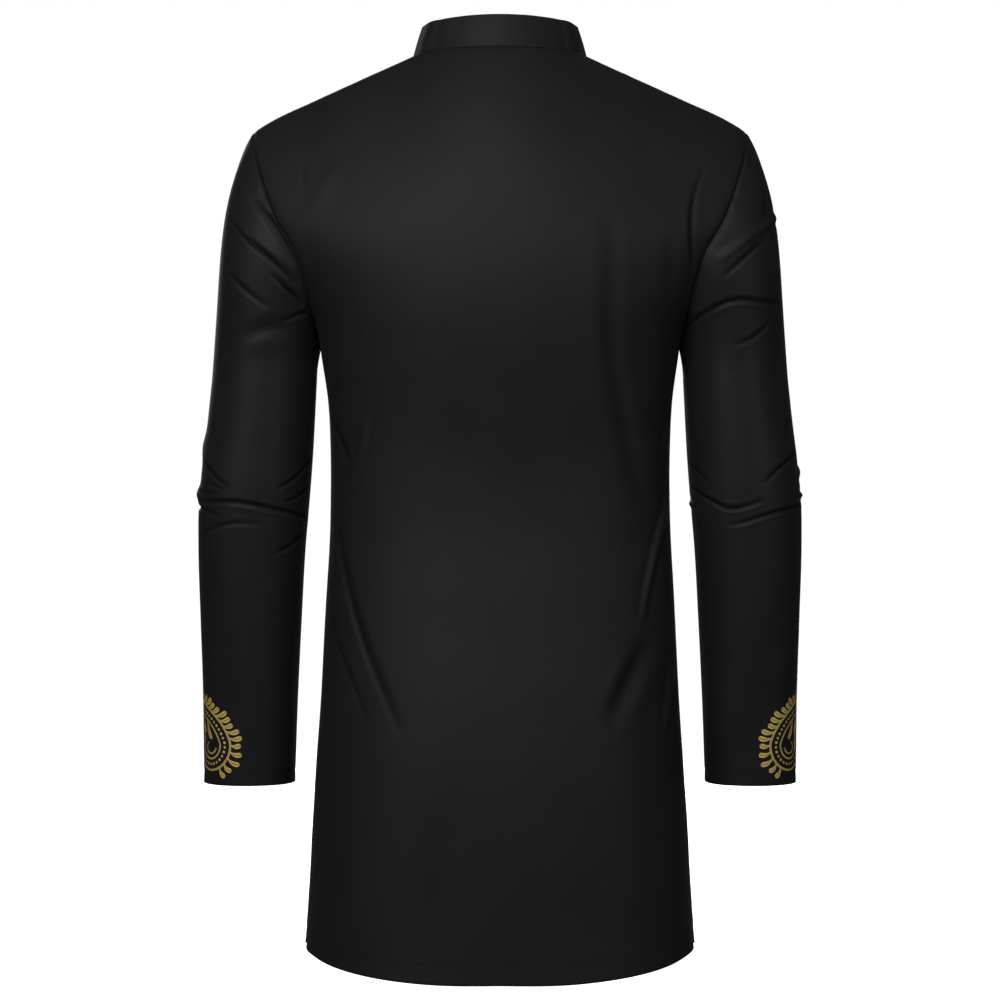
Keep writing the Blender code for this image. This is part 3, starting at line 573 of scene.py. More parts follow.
class ClothSheet:
    """A sheet of cloth on a grid: row 0 is its lower edge, and its columns run across or round."""

    allowance_share = 0.6
    # Reach of the painted seam shade, in seam reaches.
    shade_share = 3
    hem_step = 2.5
    hem_dip = 0.28
    roll_reach = 3.5

    def __init__(self, grid: Points, around: bool, wall: float) -> None:
        """Take over the grid.

        Args:
            grid: Outer points in millimetres.
            around: Whether the last column joins the first.
            wall: Thickness of the cloth.
        """
        self.grid = grid
        self.around = around
        rows, columns = grid.shape[:2]
        self.kept = np.ones((rows - 1, columns if around else columns - 1), dtype=bool)
        self.wall = np.full((rows, columns), wall)
        # Closeness to seams and hem lines, 0 to 1: painted shade in the base colour and a pucker
        # bump.
        self.seam_shade_and_pucker = np.zeros((rows, columns))
        # Painted shade in the creases' troughs, from 0 to 1, which darkens the base colour.
        self.crease_shade = np.zeros((rows, columns))
        self.folded = np.zeros((rows, columns), dtype=bool)
        self.normals = self.find_normals()
        self.across = self.distance_across()
        self.up = self.distance_up()

    def find_normals(self) -> Array:
        """Return the outward normal at each point."""
        grid = self.grid
        if self.around:
            wide = np.concatenate((grid[:, -1:], grid, grid[:, :1]), axis=1)
            level = np.gradient(wide, axis=1)[:, 1:-1]
        else:
            level = np.gradient(grid, axis=1)
        normals = unit(np.cross(level, np.gradient(grid, axis=0)))
        middle = grid.mean(axis=1, keepdims=True)
        return normals if ((grid - middle) * normals).sum() > 0 else -normals

    def distance_across(self) -> Array:
        """Return each point's distance along its row from the first column."""
        steps = np.linalg.norm(np.diff(self.grid, axis=1), axis=2)
        return np.concatenate((np.zeros((len(steps), 1)), np.cumsum(steps, axis=1)), axis=1)

    def distance_up(self) -> Array:
        """Return each point's distance along its column from the first row."""
        steps = np.linalg.norm(np.diff(self.grid, axis=0), axis=2)
        return np.concatenate((np.zeros((1, steps.shape[1])), np.cumsum(steps, axis=0)))

    def lift(self, height: Array) -> None:
        """Move the cloth outwards by a height in millimetres for each point."""
        self.grid = self.grid + self.normals * height[..., None]
        self.normals = self.find_normals()

    def sample(self, row: Array, column: Array) -> tuple[Points, Array]:
        """Return places on the cloth between its grid points.

        Args:
            row: Rows with their fractions.
            column: Columns with their fractions.

        Returns:
            The points and the normals there.
        """
        rows, columns = self.grid.shape[:2]
        low = np.clip(np.floor(row).astype(int), 0, rows - 2)
        left = np.floor(column).astype(int)
        if not self.around:
            left = np.clip(left, 0, columns - 2)
        up = (row - low)[..., None]
        side = (column - left)[..., None]
        here, there = left % columns, (left + 1) % columns
        found = []
        for layer in (self.grid, self.normals):
            lower = layer[low, here] * (1 - side) + layer[low, there] * side
            upper = layer[low + 1, here] * (1 - side) + layer[low + 1, there] * side
            found.append(lower * (1 - up) + upper * up)
        return found[0], unit(found[1])

    def rows_at(self, inset: float, columns: Array, far: bool = False) -> Array:
        """Return the rows at one distance from the lower or the upper edge.

        Args:
            inset: The distance.
            columns: The columns that are asked for.
            far: Whether it counts from the upper edge.

        Returns:
            One row with its fraction for each column.
        """
        up = self.distance_up()
        places = np.arange(len(up))
        lines = (up[:, column % up.shape[1]] for column in columns)
        return np.array(
            [np.interp(line[-1] - inset if far else inset, line, places) for line in lines]
        )

    def columns_at(self, inset: float, rows: Array, far: bool) -> Array:
        """Return the columns at one distance from the first or the last column.

        Args:
            inset: The distance.
            rows: The rows that are asked for.
            far: Whether it counts from the last column.

        Returns:
            One column with its fraction for each row.
        """
        lines = self.distance_across()[rows]
        places = np.arange(lines.shape[1])
        return np.array(
            [np.interp(line[-1] - inset if far else inset, line, places) for line in lines]
        )

    def sew_edge(self, near: Array, dip: float, reach: float, allowance: float) -> None:
        """Turn an edge in at a seam, so that the cloth dips to it and leaves no gap.

        Args:
            near: Distance of each point from the seam.
            dip: How far the seam lies below the cloth.
            reach: How far from the seam the dip reaches.
            allowance: Thickness of the layers behind the seam.
        """
        close = bell(near, reach)
        self.lift(-dip * close)
        layers = np.maximum(self.wall, allowance)
        self.wall = np.where(near < self.allowance_share * reach, layers, self.wall)
        # Painted shade and pucker beside the seam.
        self.seam_shade_and_pucker = np.maximum(self.seam_shade_and_pucker, bell(near, self.shade_share * reach))

    def turn_hem(self, near: Array, depth: float, wall: float, roll: float) -> None:
        """Double the cloth along an open edge, with a soft step where the hem ends.

        Args:
            near: Distance of each point from the edge.
            depth: How deep the hem is.
            wall: Thickness of its layers.
            roll: How far its turned edge rolls outwards.
        """
        inside = ease((depth + self.hem_step - near) / self.hem_step)
        self.wall = np.maximum(self.wall, self.wall + (wall - self.wall) * inside)
        line = bell(near - depth + 1.2, 2.2)
        self.lift(roll * bell(near, self.roll_reach) - self.hem_dip * line)
        # Painted shade along the hem's inner line.
        self.seam_shade_and_pucker = np.maximum(self.seam_shade_and_pucker, bell(near - depth, 4))

    def pattern(self) -> Array:
        """Return each point's place on the sewing pattern, a tube's first column again last."""
        across, up = self.distance_across(), self.distance_up()
        if self.around:
            closing = np.linalg.norm(self.grid[:, 0] - self.grid[:, -1], axis=1, keepdims=True)
            across = np.concatenate((across, across[:, -1:] + closing), axis=1)
            up = np.concatenate((up, up[:, :1]), axis=1)
        else:
            across = across - across[:, -1:] / 2
        return np.stack([across, up], axis=-1)

    def mesh_object(self, name: str, rim_steps: int) -> Object:
        """Build the cloth's closed wall, with its sewing pattern as a UV map.

        Args:
            name: Name of the new object.
            rim_steps: Steps round a folded edge.

        Returns:
            The new object.
        """
        rows, columns = self.grid.shape[:2]
        count = rows * columns
        outer, normals = self.grid.reshape(-1, 3), self.normals.reshape(-1, 3)
        wall = self.wall.reshape(-1, 1)
        row, column = np.nonzero(self.kept)
        corner_rows = np.stack([row, row, row + 1, row + 1], axis=1)
        corner_columns = np.stack([column, column + 1, column + 1, column], axis=1)
        cells = corner_rows * columns + corner_columns % columns
        cell_flat = (self.pattern() * MM)[corner_rows, corner_columns]
        first = outer[cells]
        facing = np.cross(first[:, 1] - first[:, 0], first[:, 3] - first[:, 0])
        if (facing * normals[cells[:, 0]]).sum() < 0:
            cells, cell_flat = cells[:, ::-1], cell_flat[:, ::-1]
        ends = np.roll(cells, -1, axis=1)
        is_open = ~np.isin(cells.astype(np.int64) * count + ends, ends * count + cells)
        cell, place = np.nonzero(is_open)
        start, end = cells[cell, place], ends[cell, place]
        outwards = (outer[start] + outer[end]) / 2 - outer[cells[cell]].mean(axis=1)
        line = unit(outer[end] - outer[start])
        outwards = unit(outwards - line * (outwards * line).sum(axis=1, keepdims=True))
        beyond = np.zeros((count, 3))
        np.add.at(beyond, start, outwards)
        np.add.at(beyond, end, outwards)
        rim = np.unique(np.concatenate((start, end)))
        beyond = unit(beyond[rim]) * self.folded.reshape(-1)[rim][:, None]
        half = wall[rim] / 2
        centre = outer[rim] - normals[rim] * half
        place_of = np.full(count, -1)
        place_of[rim] = np.arange(len(rim))
        points = [outer, outer - normals * wall]
        rings = [(start, end)]
        for step in range(rim_steps):
            turn = math.pi * (step + 1) / (rim_steps + 1)
            offset = normals[rim] * math.cos(turn) + beyond * math.sin(turn)
            points.append(centre + offset * half)
            base = 2 * count + step * len(rim)
            rings.append((base + place_of[start], base + place_of[end]))
        rings.append((start + count, end + count))
        faces = [cells, cells[:, ::-1] + count]
        flats = [cell_flat, cell_flat[:, ::-1]]
        start_flat, end_flat = cell_flat[cell, place], cell_flat[cell, (place + 1) % 4]
        for (near, near_end), (far, far_end) in zip(rings, rings[1:]):
            faces.append(np.stack([near, far, far_end, near_end], axis=1))
            flats.append(np.stack([start_flat, start_flat, end_flat, end_flat], axis=1))
        values = {}
        # The painted crease shade and the seam mask go to the mesh as named values for the
        # material.
        for key, layer in (("seam_shade_and_pucker", self.seam_shade_and_pucker), ("crease_shade", self.crease_shade)):
            value = layer.reshape(-1)
            values[key] = np.concatenate([value, value] + [value[rim]] * rim_steps)
        points, faces, flats = (np.concatenate(parts) for parts in (points, faces, flats))
        return make_object(name, points, faces, flats, values)


def make_object(
    name: str,
    points: Points,
    faces: Array,
    flats: Array | None = None,
    values: dict[str, Array] | None = None,
) -> Object:
    """Make a smooth mesh object from points in millimetres.

    Args:
        name: Name of the object.
        points: Its points.
        faces: Its faces, all with the same number of corners.
        flats: The place of each face corner on the UV map, in metres.
        values: Named values, one for each point.

    Returns:
        The new object.
    """
    used, numbers = np.unique(faces, return_inverse=True)
    faces = numbers.reshape(faces.shape)
    mesh = bpy.data.meshes.new(name)
    mesh.from_pydata((points[used] * MM).tolist(), [], faces.tolist())
    if flats is not None:
        layer = mesh.uv_layers.new(name="pattern")
        layer.data.foreach_set("uv", flats.astype(np.float32).ravel())
    for key, array in (values or {}).items():
        attribute = mesh.attributes.new(key, "FLOAT", "POINT")
        attribute.data.foreach_set("value", array[used].astype(np.float32))
    mesh.update()
    mesh.shade_smooth()
    made = bpy.data.objects.new(name, mesh)
    bpy.context.scene.collection.objects.link(made)
    return made


@dataclass(frozen=True)
class StitchSizes:
    """Sizes of a sewn thread, in millimetres."""

    length: float = 2.3
    gap: float = 0.75
    half_width: float = 0.17
    proud: float = 0.1


class StitchRun:
    """Rows of machine stitches, copied from one stitch and joined in one mesh."""

    def __init__(self, sizes: StitchSizes) -> None:
        """Model the one stitch that is copied.

        Args:
            sizes: Sizes of the thread.
        """
        self.sizes = sizes
        self.points: list[Points] = []
        self.faces: list[Array] = []
        self.count = 0
        self.model = self.model_stitch()

    def model_stitch(self) -> tuple[Points, Array]:
        """Model one stitch along X, its outer side towards Z.

        Returns:
            Its points in millimetres and its triangles.
        """
        select_only()
        bpy.ops.mesh.primitive_uv_sphere_add(segments=6, ring_count=5, radius=0.5)
        ball = bpy.context.object
        bpy.ops.object.mode_set(mode="EDIT")
        bpy.ops.mesh.select_all(action="SELECT")
        bpy.ops.transform.rotate(value=math.pi / 2, orient_axis="Y", center_override=(0, 0, 0))
        bpy.ops.transform.resize(
            value=(self.sizes.length, 2 * self.sizes.half_width, 2 * self.sizes.half_width)
        )
        bpy.ops.object.mode_set(mode="OBJECT")
        points = np.array([vertex.co for vertex in ball.data.vertices])
        faces = []
        for polygon in ball.data.polygons:
            corners = list(polygon.vertices)
            first = corners.index(min(corners))
            first, *rest = corners[first:] + corners[:first]
            faces += [(first, *pair) for pair in zip(rest, rest[1:])]
        bpy.data.objects.remove(ball, do_unlink=True)
        return points, np.array(sorted(faces))

    def sew(self, line: Points, normals: Array) -> None:
        """Lay stitches along a line on the cloth.

        Args:
            line: Points of the line.
            normals: The cloth's normals there.
        """
        length = path_lengths(line)
        pitch = self.sizes.length + self.sizes.gap
        count = int(length[-1] / pitch)
        if count < 1:
            return
        middle = (np.arange(count) + 0.5) * length[-1] / count
        half = self.sizes.length / 2
        ahead = read_along(length, line, middle + half) - read_along(length, line, middle - half)
        ahead = unit(ahead)
        up = read_along(length, normals, middle)
        up = unit(up - ahead * (up * ahead).sum(axis=1, keepdims=True))
        side = np.cross(up, ahead)
        places = read_along(length, line, middle) + up * (self.sizes.proud - self.sizes.half_width)
        shape, faces = self.model
        laid = (
            places[:, None]
            + shape[None, :, 0:1] * ahead[:, None]
            + shape[None, :, 1:2] * side[:, None]
            + shape[None, :, 2:3] * up[:, None]
        )
        starts = self.count + np.arange(count)[:, None, None] * len(shape)
        self.points.append(laid.reshape(-1, 3))
        self.faces.append((faces[None] + starts).reshape(-1, 3))
        self.count += count * len(shape)

    def finish(self, name: str) -> Object:
        """Return all stitches as one object."""
        return make_object(name, np.concatenate(self.points), np.concatenate(self.faces))


class NodeTree:
    """Places nodes in a material or group with few words."""

    def __init__(self, tree: bpy.types.NodeTree) -> None:
        """Take over the tree that nodes are added to."""
        self.tree = tree

    def add(self, kind: str, **settings: object) -> bpy.types.Node:
        """Add a node of a kind with its settings."""
        node = self.tree.nodes.new(kind)
        for key, value in settings.items():
            setattr(node, key, value)
        return node

    def feed(self, source: object, target: NodeSocket) -> None:
        """Link an output socket to an input, or set the input to a value."""
        if isinstance(source, NodeSocket):
            self.tree.links.new(source, target)
        else:
            target.default_value = source

    def math(self, operation: str, *values: object) -> NodeSocket:
        """Add a Math node with its inputs and return its output."""
        node = self.add("ShaderNodeMath", operation=operation)
        for value, target in zip(values, node.inputs):
            self.feed(value, target)
        return node.outputs[0]

    def mix(self, share: object, low: object, high: object) -> NodeSocket:
        """Mix two colours by a share and return the mixed colour."""
        node = self.add("ShaderNodeMix", data_type="RGBA")
        for value, number in ((share, 0), (low, 6), (high, 7)):
            self.feed(value, node.inputs[number])
        return node.outputs[2]

    def noise(self, place: object, scale: float, detail: float) -> NodeSocket:
        """Add a Noise node.

        Args:
            place: Coordinates.
            scale: Its scale.
            detail: Its detail.

        Returns:
            Its value.
        """
        node = self.add("ShaderNodeTexNoise")
        self.feed(place, node.inputs["Vector"])
        node.inputs["Scale"].default_value = scale
        node.inputs["Detail"].default_value = detail
        return node.outputs["Fac"]

    def attribute(self, name: str) -> NodeSocket:
        """Return a named value of the mesh."""
        return self.add("ShaderNodeAttribute", attribute_name=name).outputs["Fac"]

    def bump(
        self, height: object, distance: float, strength: float, normal: object = None
    ) -> NodeSocket:
        """Add a Bump node.

        Args:
            height: Its height.
            distance: Its distance, in metres.
            strength: Its strength.
            normal: The normal that it starts from, if another bump lies under it.

        Returns:
            The new normal.
        """
        node = self.add("ShaderNodeBump")
        node.inputs["Distance"].default_value = distance
        node.inputs["Strength"].default_value = strength
        self.feed(height, node.inputs["Height"])
        if normal is not None:
            self.feed(normal, node.inputs["Normal"])
        return node.outputs[0]


def new_group(
    name: str, inputs: dict[str, float], outputs: tuple[str, ...]
) -> tuple[bpy.types.NodeTree, NodeTree, bpy.types.Node, bpy.types.Node]:
    """Start a shader node group.

    Args:
        name: Name of the group.
        inputs: Its inputs after the Pattern, each with its value where nothing is linked.
        outputs: Names of its outputs.

    Returns:
        The group, a builder for it, and its input and output nodes.
    """
    group = bpy.data.node_groups.new(name, "ShaderNodeTree")
    group.interface.new_socket("Pattern", in_out="INPUT", socket_type="NodeSocketVector")
    for key, value in inputs.items():
        made = group.interface.new_socket(key, in_out="INPUT", socket_type="NodeSocketFloat")
        made.default_value = value
    for key in outputs:
        group.interface.new_socket(key, in_out="OUTPUT", socket_type="NodeSocketFloat")
    builder = NodeTree(group)
    return group, builder, builder.add("NodeGroupInput"), builder.add("NodeGroupOutput")


def twill_group() -> bpy.types.NodeTree:
    """Build the satin twill: slanting floats of warp over weft, at the thread's own scale.

    Returns:
        The group. It puts out a height and an uneven tone, both about 0 to 1.
    """
    group, nodes, given, put = new_group(
        "satin_twill", {"Threads Per Metre": 3600, "Slant": 0.5}, ("Height", "Tone")
    )
    apart = nodes.add("ShaderNodeSeparateXYZ")
    nodes.feed(given.outputs["Pattern"], apart.inputs[0])
    across = nodes.math("MULTIPLY", apart.outputs["X"], given.outputs["Threads Per Metre"])
    up = nodes.math("MULTIPLY", apart.outputs["Y"], given.outputs["Threads Per Metre"])
    slant = nodes.math("MULTIPLY", up, given.outputs["Slant"])
    line = nodes.math("MULTIPLY", nodes.math("ADD", across, slant), 2 * math.pi / 3)
    wale = nodes.math("MULTIPLY_ADD", nodes.math("SINE", line), 0.5, 0.5)
    thread = nodes.math("ABSOLUTE", nodes.math("SINE", nodes.math("MULTIPLY", across, math.pi)))
    height = nodes.math("MULTIPLY_ADD", wale, 0.65, nodes.math("MULTIPLY", thread, 0.35))
    nodes.feed(height, put.inputs["Height"])
    stretch = nodes.add("ShaderNodeMapping")
    stretch.inputs["Scale"].default_value = (1, 0.12, 1)
    nodes.feed(given.outputs["Pattern"], stretch.inputs["Vector"])
    slub = nodes.noise(stretch.outputs[0], 900, 2)
    cloud = nodes.noise(given.outputs["Pattern"], 18, 3)
    tone = nodes.math("MULTIPLY_ADD", slub, 0.35, nodes.math("MULTIPLY", cloud, 0.65))
    nodes.feed(tone, put.inputs["Tone"])
    return group


def drape_group() -> bpy.types.NodeTree:
    """Build the small unevenness that worn cloth keeps between its creases.

    Returns:
        The group. It puts out a height of about 0 to 1 that grows beside the seams.
    """
    group, nodes, given, put = new_group("soft_drape", {"Near Seam": 0, "Pucker": 0.8}, ("Height",))
    slow = nodes.noise(given.outputs["Pattern"], 22, 2)
    fine = nodes.noise(given.outputs["Pattern"], 95, 2)
    pucker = nodes.math("MULTIPLY", given.outputs["Near Seam"], given.outputs["Pucker"])
    extra = nodes.math("MULTIPLY", fine, pucker)
    nodes.feed(nodes.math("MULTIPLY_ADD", slow, 0.75, extra), put.inputs["Height"])
    return group


class Finish:
    """A material under way: its nodes and its shader."""

    def __init__(self, name: str) -> None:
        """Start a material."""
        self.made = bpy.data.materials.new(name)
        self.made.use_nodes = True
        self.nodes = NodeTree(self.made.node_tree)
        self.shader = self.made.node_tree.nodes["Principled BSDF"]

    def set(self, **values: object) -> None:
        """Set or link inputs of the shader, a low line standing for a blank in their names."""
        for key, value in values.items():
            self.nodes.feed(value, self.shader.inputs[key.replace("_", " ")])

    def place(self) -> NodeSocket:
        """Return Object coordinates."""
        return self.nodes.add("ShaderNodeTexCoord").outputs["Object"]

    def tones(self, share: object, colour: Colour, dark: float, light: float) -> NodeSocket:
        """Mix a darker and a lighter tone of one colour by a share."""
        low, high = ((*[factor * part for part in colour], 1) for factor in (dark, light))
        return self.nodes.mix(share, low, high)


@dataclass(frozen=True)
class SatinTwill:
    """Black satin-faced twill with a soft sheen, with painted shade in its crease troughs and
    beside its seams.
    """

    name: str
    dark: Colour = (0.0085, 0.0085, 0.0095)
    light: Colour = (0.0150, 0.0150, 0.0162)
    roughness: float = 0.52
    specular: float = 0.1
    sheen: float = 0.02
    sheen_roughness: float = 0.35
    # Strength of the painted crease shade.
    fold_shade: float = 0.85
    thread_bump: float = 0.00003
    drape_bump: float = 0.0005
    # Colour of the painted crease shade.
    crease_shade_colour: Colour = (0.0006, 0.0006, 0.0007)

    def material(self, weave: bpy.types.NodeTree, drape: bpy.types.NodeTree) -> Material:
        """Return the finish as a material.

        Args:
            weave: The twill group.
            drape: The drape group.

        Returns:
            The new material.
        """
        finish = Finish(self.name)
        nodes = finish.nodes
        pattern = nodes.add("ShaderNodeUVMap", uv_map="pattern").outputs[0]
        near = nodes.attribute("seam_shade_and_pucker")
        twill = nodes.add("ShaderNodeGroup", node_tree=weave)
        nodes.feed(pattern, twill.inputs["Pattern"])
        soft = nodes.add("ShaderNodeGroup", node_tree=drape)
        nodes.feed(pattern, soft.inputs["Pattern"])
        nodes.feed(near, soft.inputs["Near Seam"])
        tone = nodes.math("MULTIPLY_ADD", twill.outputs["Height"], 0.3, twill.outputs["Tone"])
        # Painted shade beside the sunken seams and hem lines: the seam mask pulls the tone towards
        # the darker colour.
        share = nodes.math("SUBTRACT", tone, nodes.math("MULTIPLY", near, 0.15))
        colour = nodes.mix(share, (*self.dark, 1), (*self.light, 1))
        # Painted shade: the crease mask pulls the base colour towards the near-black shade colour;
        # it also roughens the troughs.
        crease_shade = nodes.attribute("crease_shade")
        deep = nodes.math("MULTIPLY", crease_shade, self.fold_shade)
        rough = nodes.math("MULTIPLY_ADD", twill.outputs["Tone"], 0.12, self.roughness - 0.06)
        fall = nodes.bump(soft.outputs["Height"], self.drape_bump, 0.55)
        finish.set(
            Base_Color=nodes.mix(deep, colour, (*self.crease_shade_colour, 1)),
            Roughness=nodes.math("MULTIPLY_ADD", crease_shade, 0.4, rough),
            Specular_IOR_Level=self.specular,
            Sheen_Weight=self.sheen,
            Sheen_Roughness=self.sheen_roughness,
            Normal=nodes.bump(twill.outputs["Height"], self.thread_bump, 0.5, fall),
        )
        return finish.made


@dataclass(frozen=True)
class SewingThread:
    """Black spun sewing thread."""

    colour: Colour = (0.014, 0.014, 0.015)
    roughness: float = 0.6

    def material(self) -> Material:
        """Return the finish as a material."""
        finish = Finish("sewing_thread")
        ply = finish.nodes.noise(finish.place(), 2600, 1)
        finish.set(
            Base_Color=finish.tones(ply, self.colour, 0.6, 1.5),
            Roughness=self.roughness,
            Normal=finish.nodes.bump(ply, 0.00004, 1),
        )
        return finish.made


@dataclass(frozen=True)
class FoilPrint:
    """Matt gold print: paler along its edges, ochre in the middle of its shapes."""

    edge: Colour = (0.76, 0.56, 0.17)
    core: Colour = (0.30, 0.18, 0.03)
    roughness: float = 0.42
    metallic: float = 0.08

    def material(self) -> Material:
        """Return the finish as a material."""
        finish = Finish("gold_print")
        nodes = finish.nodes
        grain = nodes.noise(finish.place(), 900, 3)
        paler = nodes.math("MULTIPLY_ADD", grain, 0.4, -0.45)
        share = nodes.math("MULTIPLY_ADD", nodes.attribute("core"), 1.25, paler)
        finish.set(
            Base_Color=nodes.mix(share, (*self.edge, 1), (*self.core, 1)),
            Roughness=nodes.math("MULTIPLY_ADD", grain, 0.25, self.roughness - 0.12),
            Metallic=self.metallic,
            Normal=nodes.bump(grain, 0.00005, 0.6),
        )
        return finish.made


@dataclass(frozen=True)
class ButtonResin:
    """Black polyester button, polished on the rim, with faint clouds."""

    colour: Colour = (0.012, 0.012, 0.013)
    roughness: float = 0.28

    def material(self) -> Material:
        """Return the finish as a material."""
        finish = Finish("button_resin")
        nodes, place = finish.nodes, finish.place()
        scratch = nodes.noise(place, 2400, 2)
        finish.set(
            Base_Color=finish.tones(nodes.noise(place, 260, 4), self.colour, 0.7, 1.8),
            Roughness=nodes.math("MULTIPLY_ADD", scratch, 0.2, self.roughness - 0.08),
            Normal=nodes.bump(scratch, 0.00003, 0.3),
        )
        return finish.made


@dataclass
class Finishes:
    """The materials of the shirt, made once."""

    body: Material
    sleeve: Material
    thread: Material
    gold: Material
    resin: Material

    @classmethod
    def make(cls) -> "Finishes":
        """Make all materials."""
        weave, drape = twill_group(), drape_group()
        return cls(
            body=SatinTwill("body_satin_twill").material(weave, drape),
            sleeve=SatinTwill("sleeve_satin_twill", roughness=0.45).material(weave, drape),
            thread=SewingThread().material(),
            gold=FoilPrint().material(),
            resin=ButtonResin().material(),
        )


def select_only(*objects: Object) -> None:
    """Select the given objects and make the last one active."""
    bpy.ops.object.select_all(action="DESELECT")
    for each in objects:
        each.select_set(True)
    if objects:
        bpy.context.view_layer.objects.active = objects[-1]


def copy_of(model: Object, move: Matrix) -> Object:
    """Copy an object and move the copy's mesh.

    Args:
        model: The object.
        move: The move, from the mesh's own place.

    Returns:
        The copy, with its own origin in the middle of the room.
    """
    made = bpy.data.objects.new(model.name, model.data.copy())
    made.data.transform(move)
    bpy.context.scene.collection.objects.link(made)
    return made


def dress(piece: Object, material: Material, nodes: tuple[str, ...] = ()) -> Object:
    """Give a piece its finish, its body and the nodes that it stands for.

    Args:
        piece: The piece.
        material: Its finish.
        nodes: CAD nodes that it replaces.

    Returns:
        The piece.
    """
    piece.data.materials.clear()
    piece.data.materials.append(material)
    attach(piece, BODY)
    if nodes:
        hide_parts(*nodes)
    LOG.info("%s: %d faces", piece.name, len(piece.data.polygons))
    return piece


class ClothPiece:
    """A piece made of one sheet of cloth, which stands for one CAD node."""

    node: str
    sheet: ClothSheet
    slot: ClassVar[Slot] = Slot.BODY_CLOTH
    rim_steps: ClassVar[int] = 3

    def build(self, material: Material) -> Object:
        """Make the piece's mesh and dress it in its material."""
        piece = self.sheet.mesh_object(self.node + "_cloth", self.rim_steps)
        return dress(piece, material, (self.node,))


BACK_CREASES = (
    Crease(((142, -250), (146, -294), (156, -316)), 5, -1.6),
    Crease(((124, -346), (128, -376), (141, -398)), 3, -1.6, 0.4),
    Crease(((157, -344), (148, -366), (140, -385)), 2.38, 2.28, 0.09, 0.2),
    Crease(((151, -446), (145, -489), (127, -548), (111, -585), (92, -628)), 3.57, 2.74, 0.08, 0.2),
    Crease(((156, -536), (152, -550), (129, -604), (121, -622)), 2.04, 1.52, 0.07),
    Crease(((181, -110), (180, -130)), 2.38, 0.91, 0.12),
    Crease(((152, -112), (165, -140), (174, -158)), 8, -0.7),
    Crease(((-186, -116), (-177, -138), (-174, -168), (-177, -208)), 2.38, 2.28, 0.09, 0.2),
    Crease(((-154, -182), (-157, -236)), 6, 1),
    Crease(((-100, -171), (-99, -238), (-100, -284), (-109, -330), (-122, -389),
            (-129, -419)), 8, 2.6, 0.35),
    Crease(((-161, -336), (-153, -374)), 2.24, -2.04, 0.45),
    Crease(((-161, -405), (-146, -459), (-137, -495), (-131, -528)), 2.88, -2.72, 0.5, 0.2),
    Crease(((-134, -552), (-115, -587), (-101, -618)), 8, 3.8, 0.3, 0.2),
    Crease(((-161, -569), (-157, -606), (-153, -636)), 2.6, -1.82),
    Crease(((-168, -600), (-164, -621), (-162, -640)), 2.6, -1.54),
    Crease(((60, -700), (66, -780), (64, -850)), 26, 1.6),
    Crease(((-70, -690), (-82, -770), (-86, -852)), 28, 1.8),
)
FRONT_CREASES = (
    Crease(((118, -230), (106, -290), (112, -350), (126, -420)), 8, 2.8, 0.35),
    Crease(((-112, -240), (-98, -300), (-106, -372)), 7.5, 2.4, 0.35),
    Crease(((134, -470), (112, -540), (84, -622)), 5, 3.6, 0.35, 0.2),
    Crease(((-140, -500), (-110, -580), (-96, -640)), 4.6, 3.2, 0.35, 0.2),
    Crease(((156, -350), (146, -372), (132, -392)), 3.2, 2.8, 0.4),
    Crease(((-158, -344), (-148, -366), (-134, -384)), 3.2, 2.6, 0.4),
    Crease(((152, -548), (138, -590), (124, -618)), 3.2, 2, 0.4),
    Crease(((-156, -420), (-146, -470), (-140, -520)), 3.6, -2.6, 0.45),
    Crease(((182, -112), (172, -146), (172, -190)), 3.6, 2.4, 0.4),
    Crease(((-184, -116), (-173, -150), (-172, -196)), 3.6, 2.6, 0.4),
    Crease(((70, -690), (78, -770), (74, -850)), 26, 1.6),
    Crease(((-62, -700), (-70, -790), (-66, -850)), 26, 1.4),
)
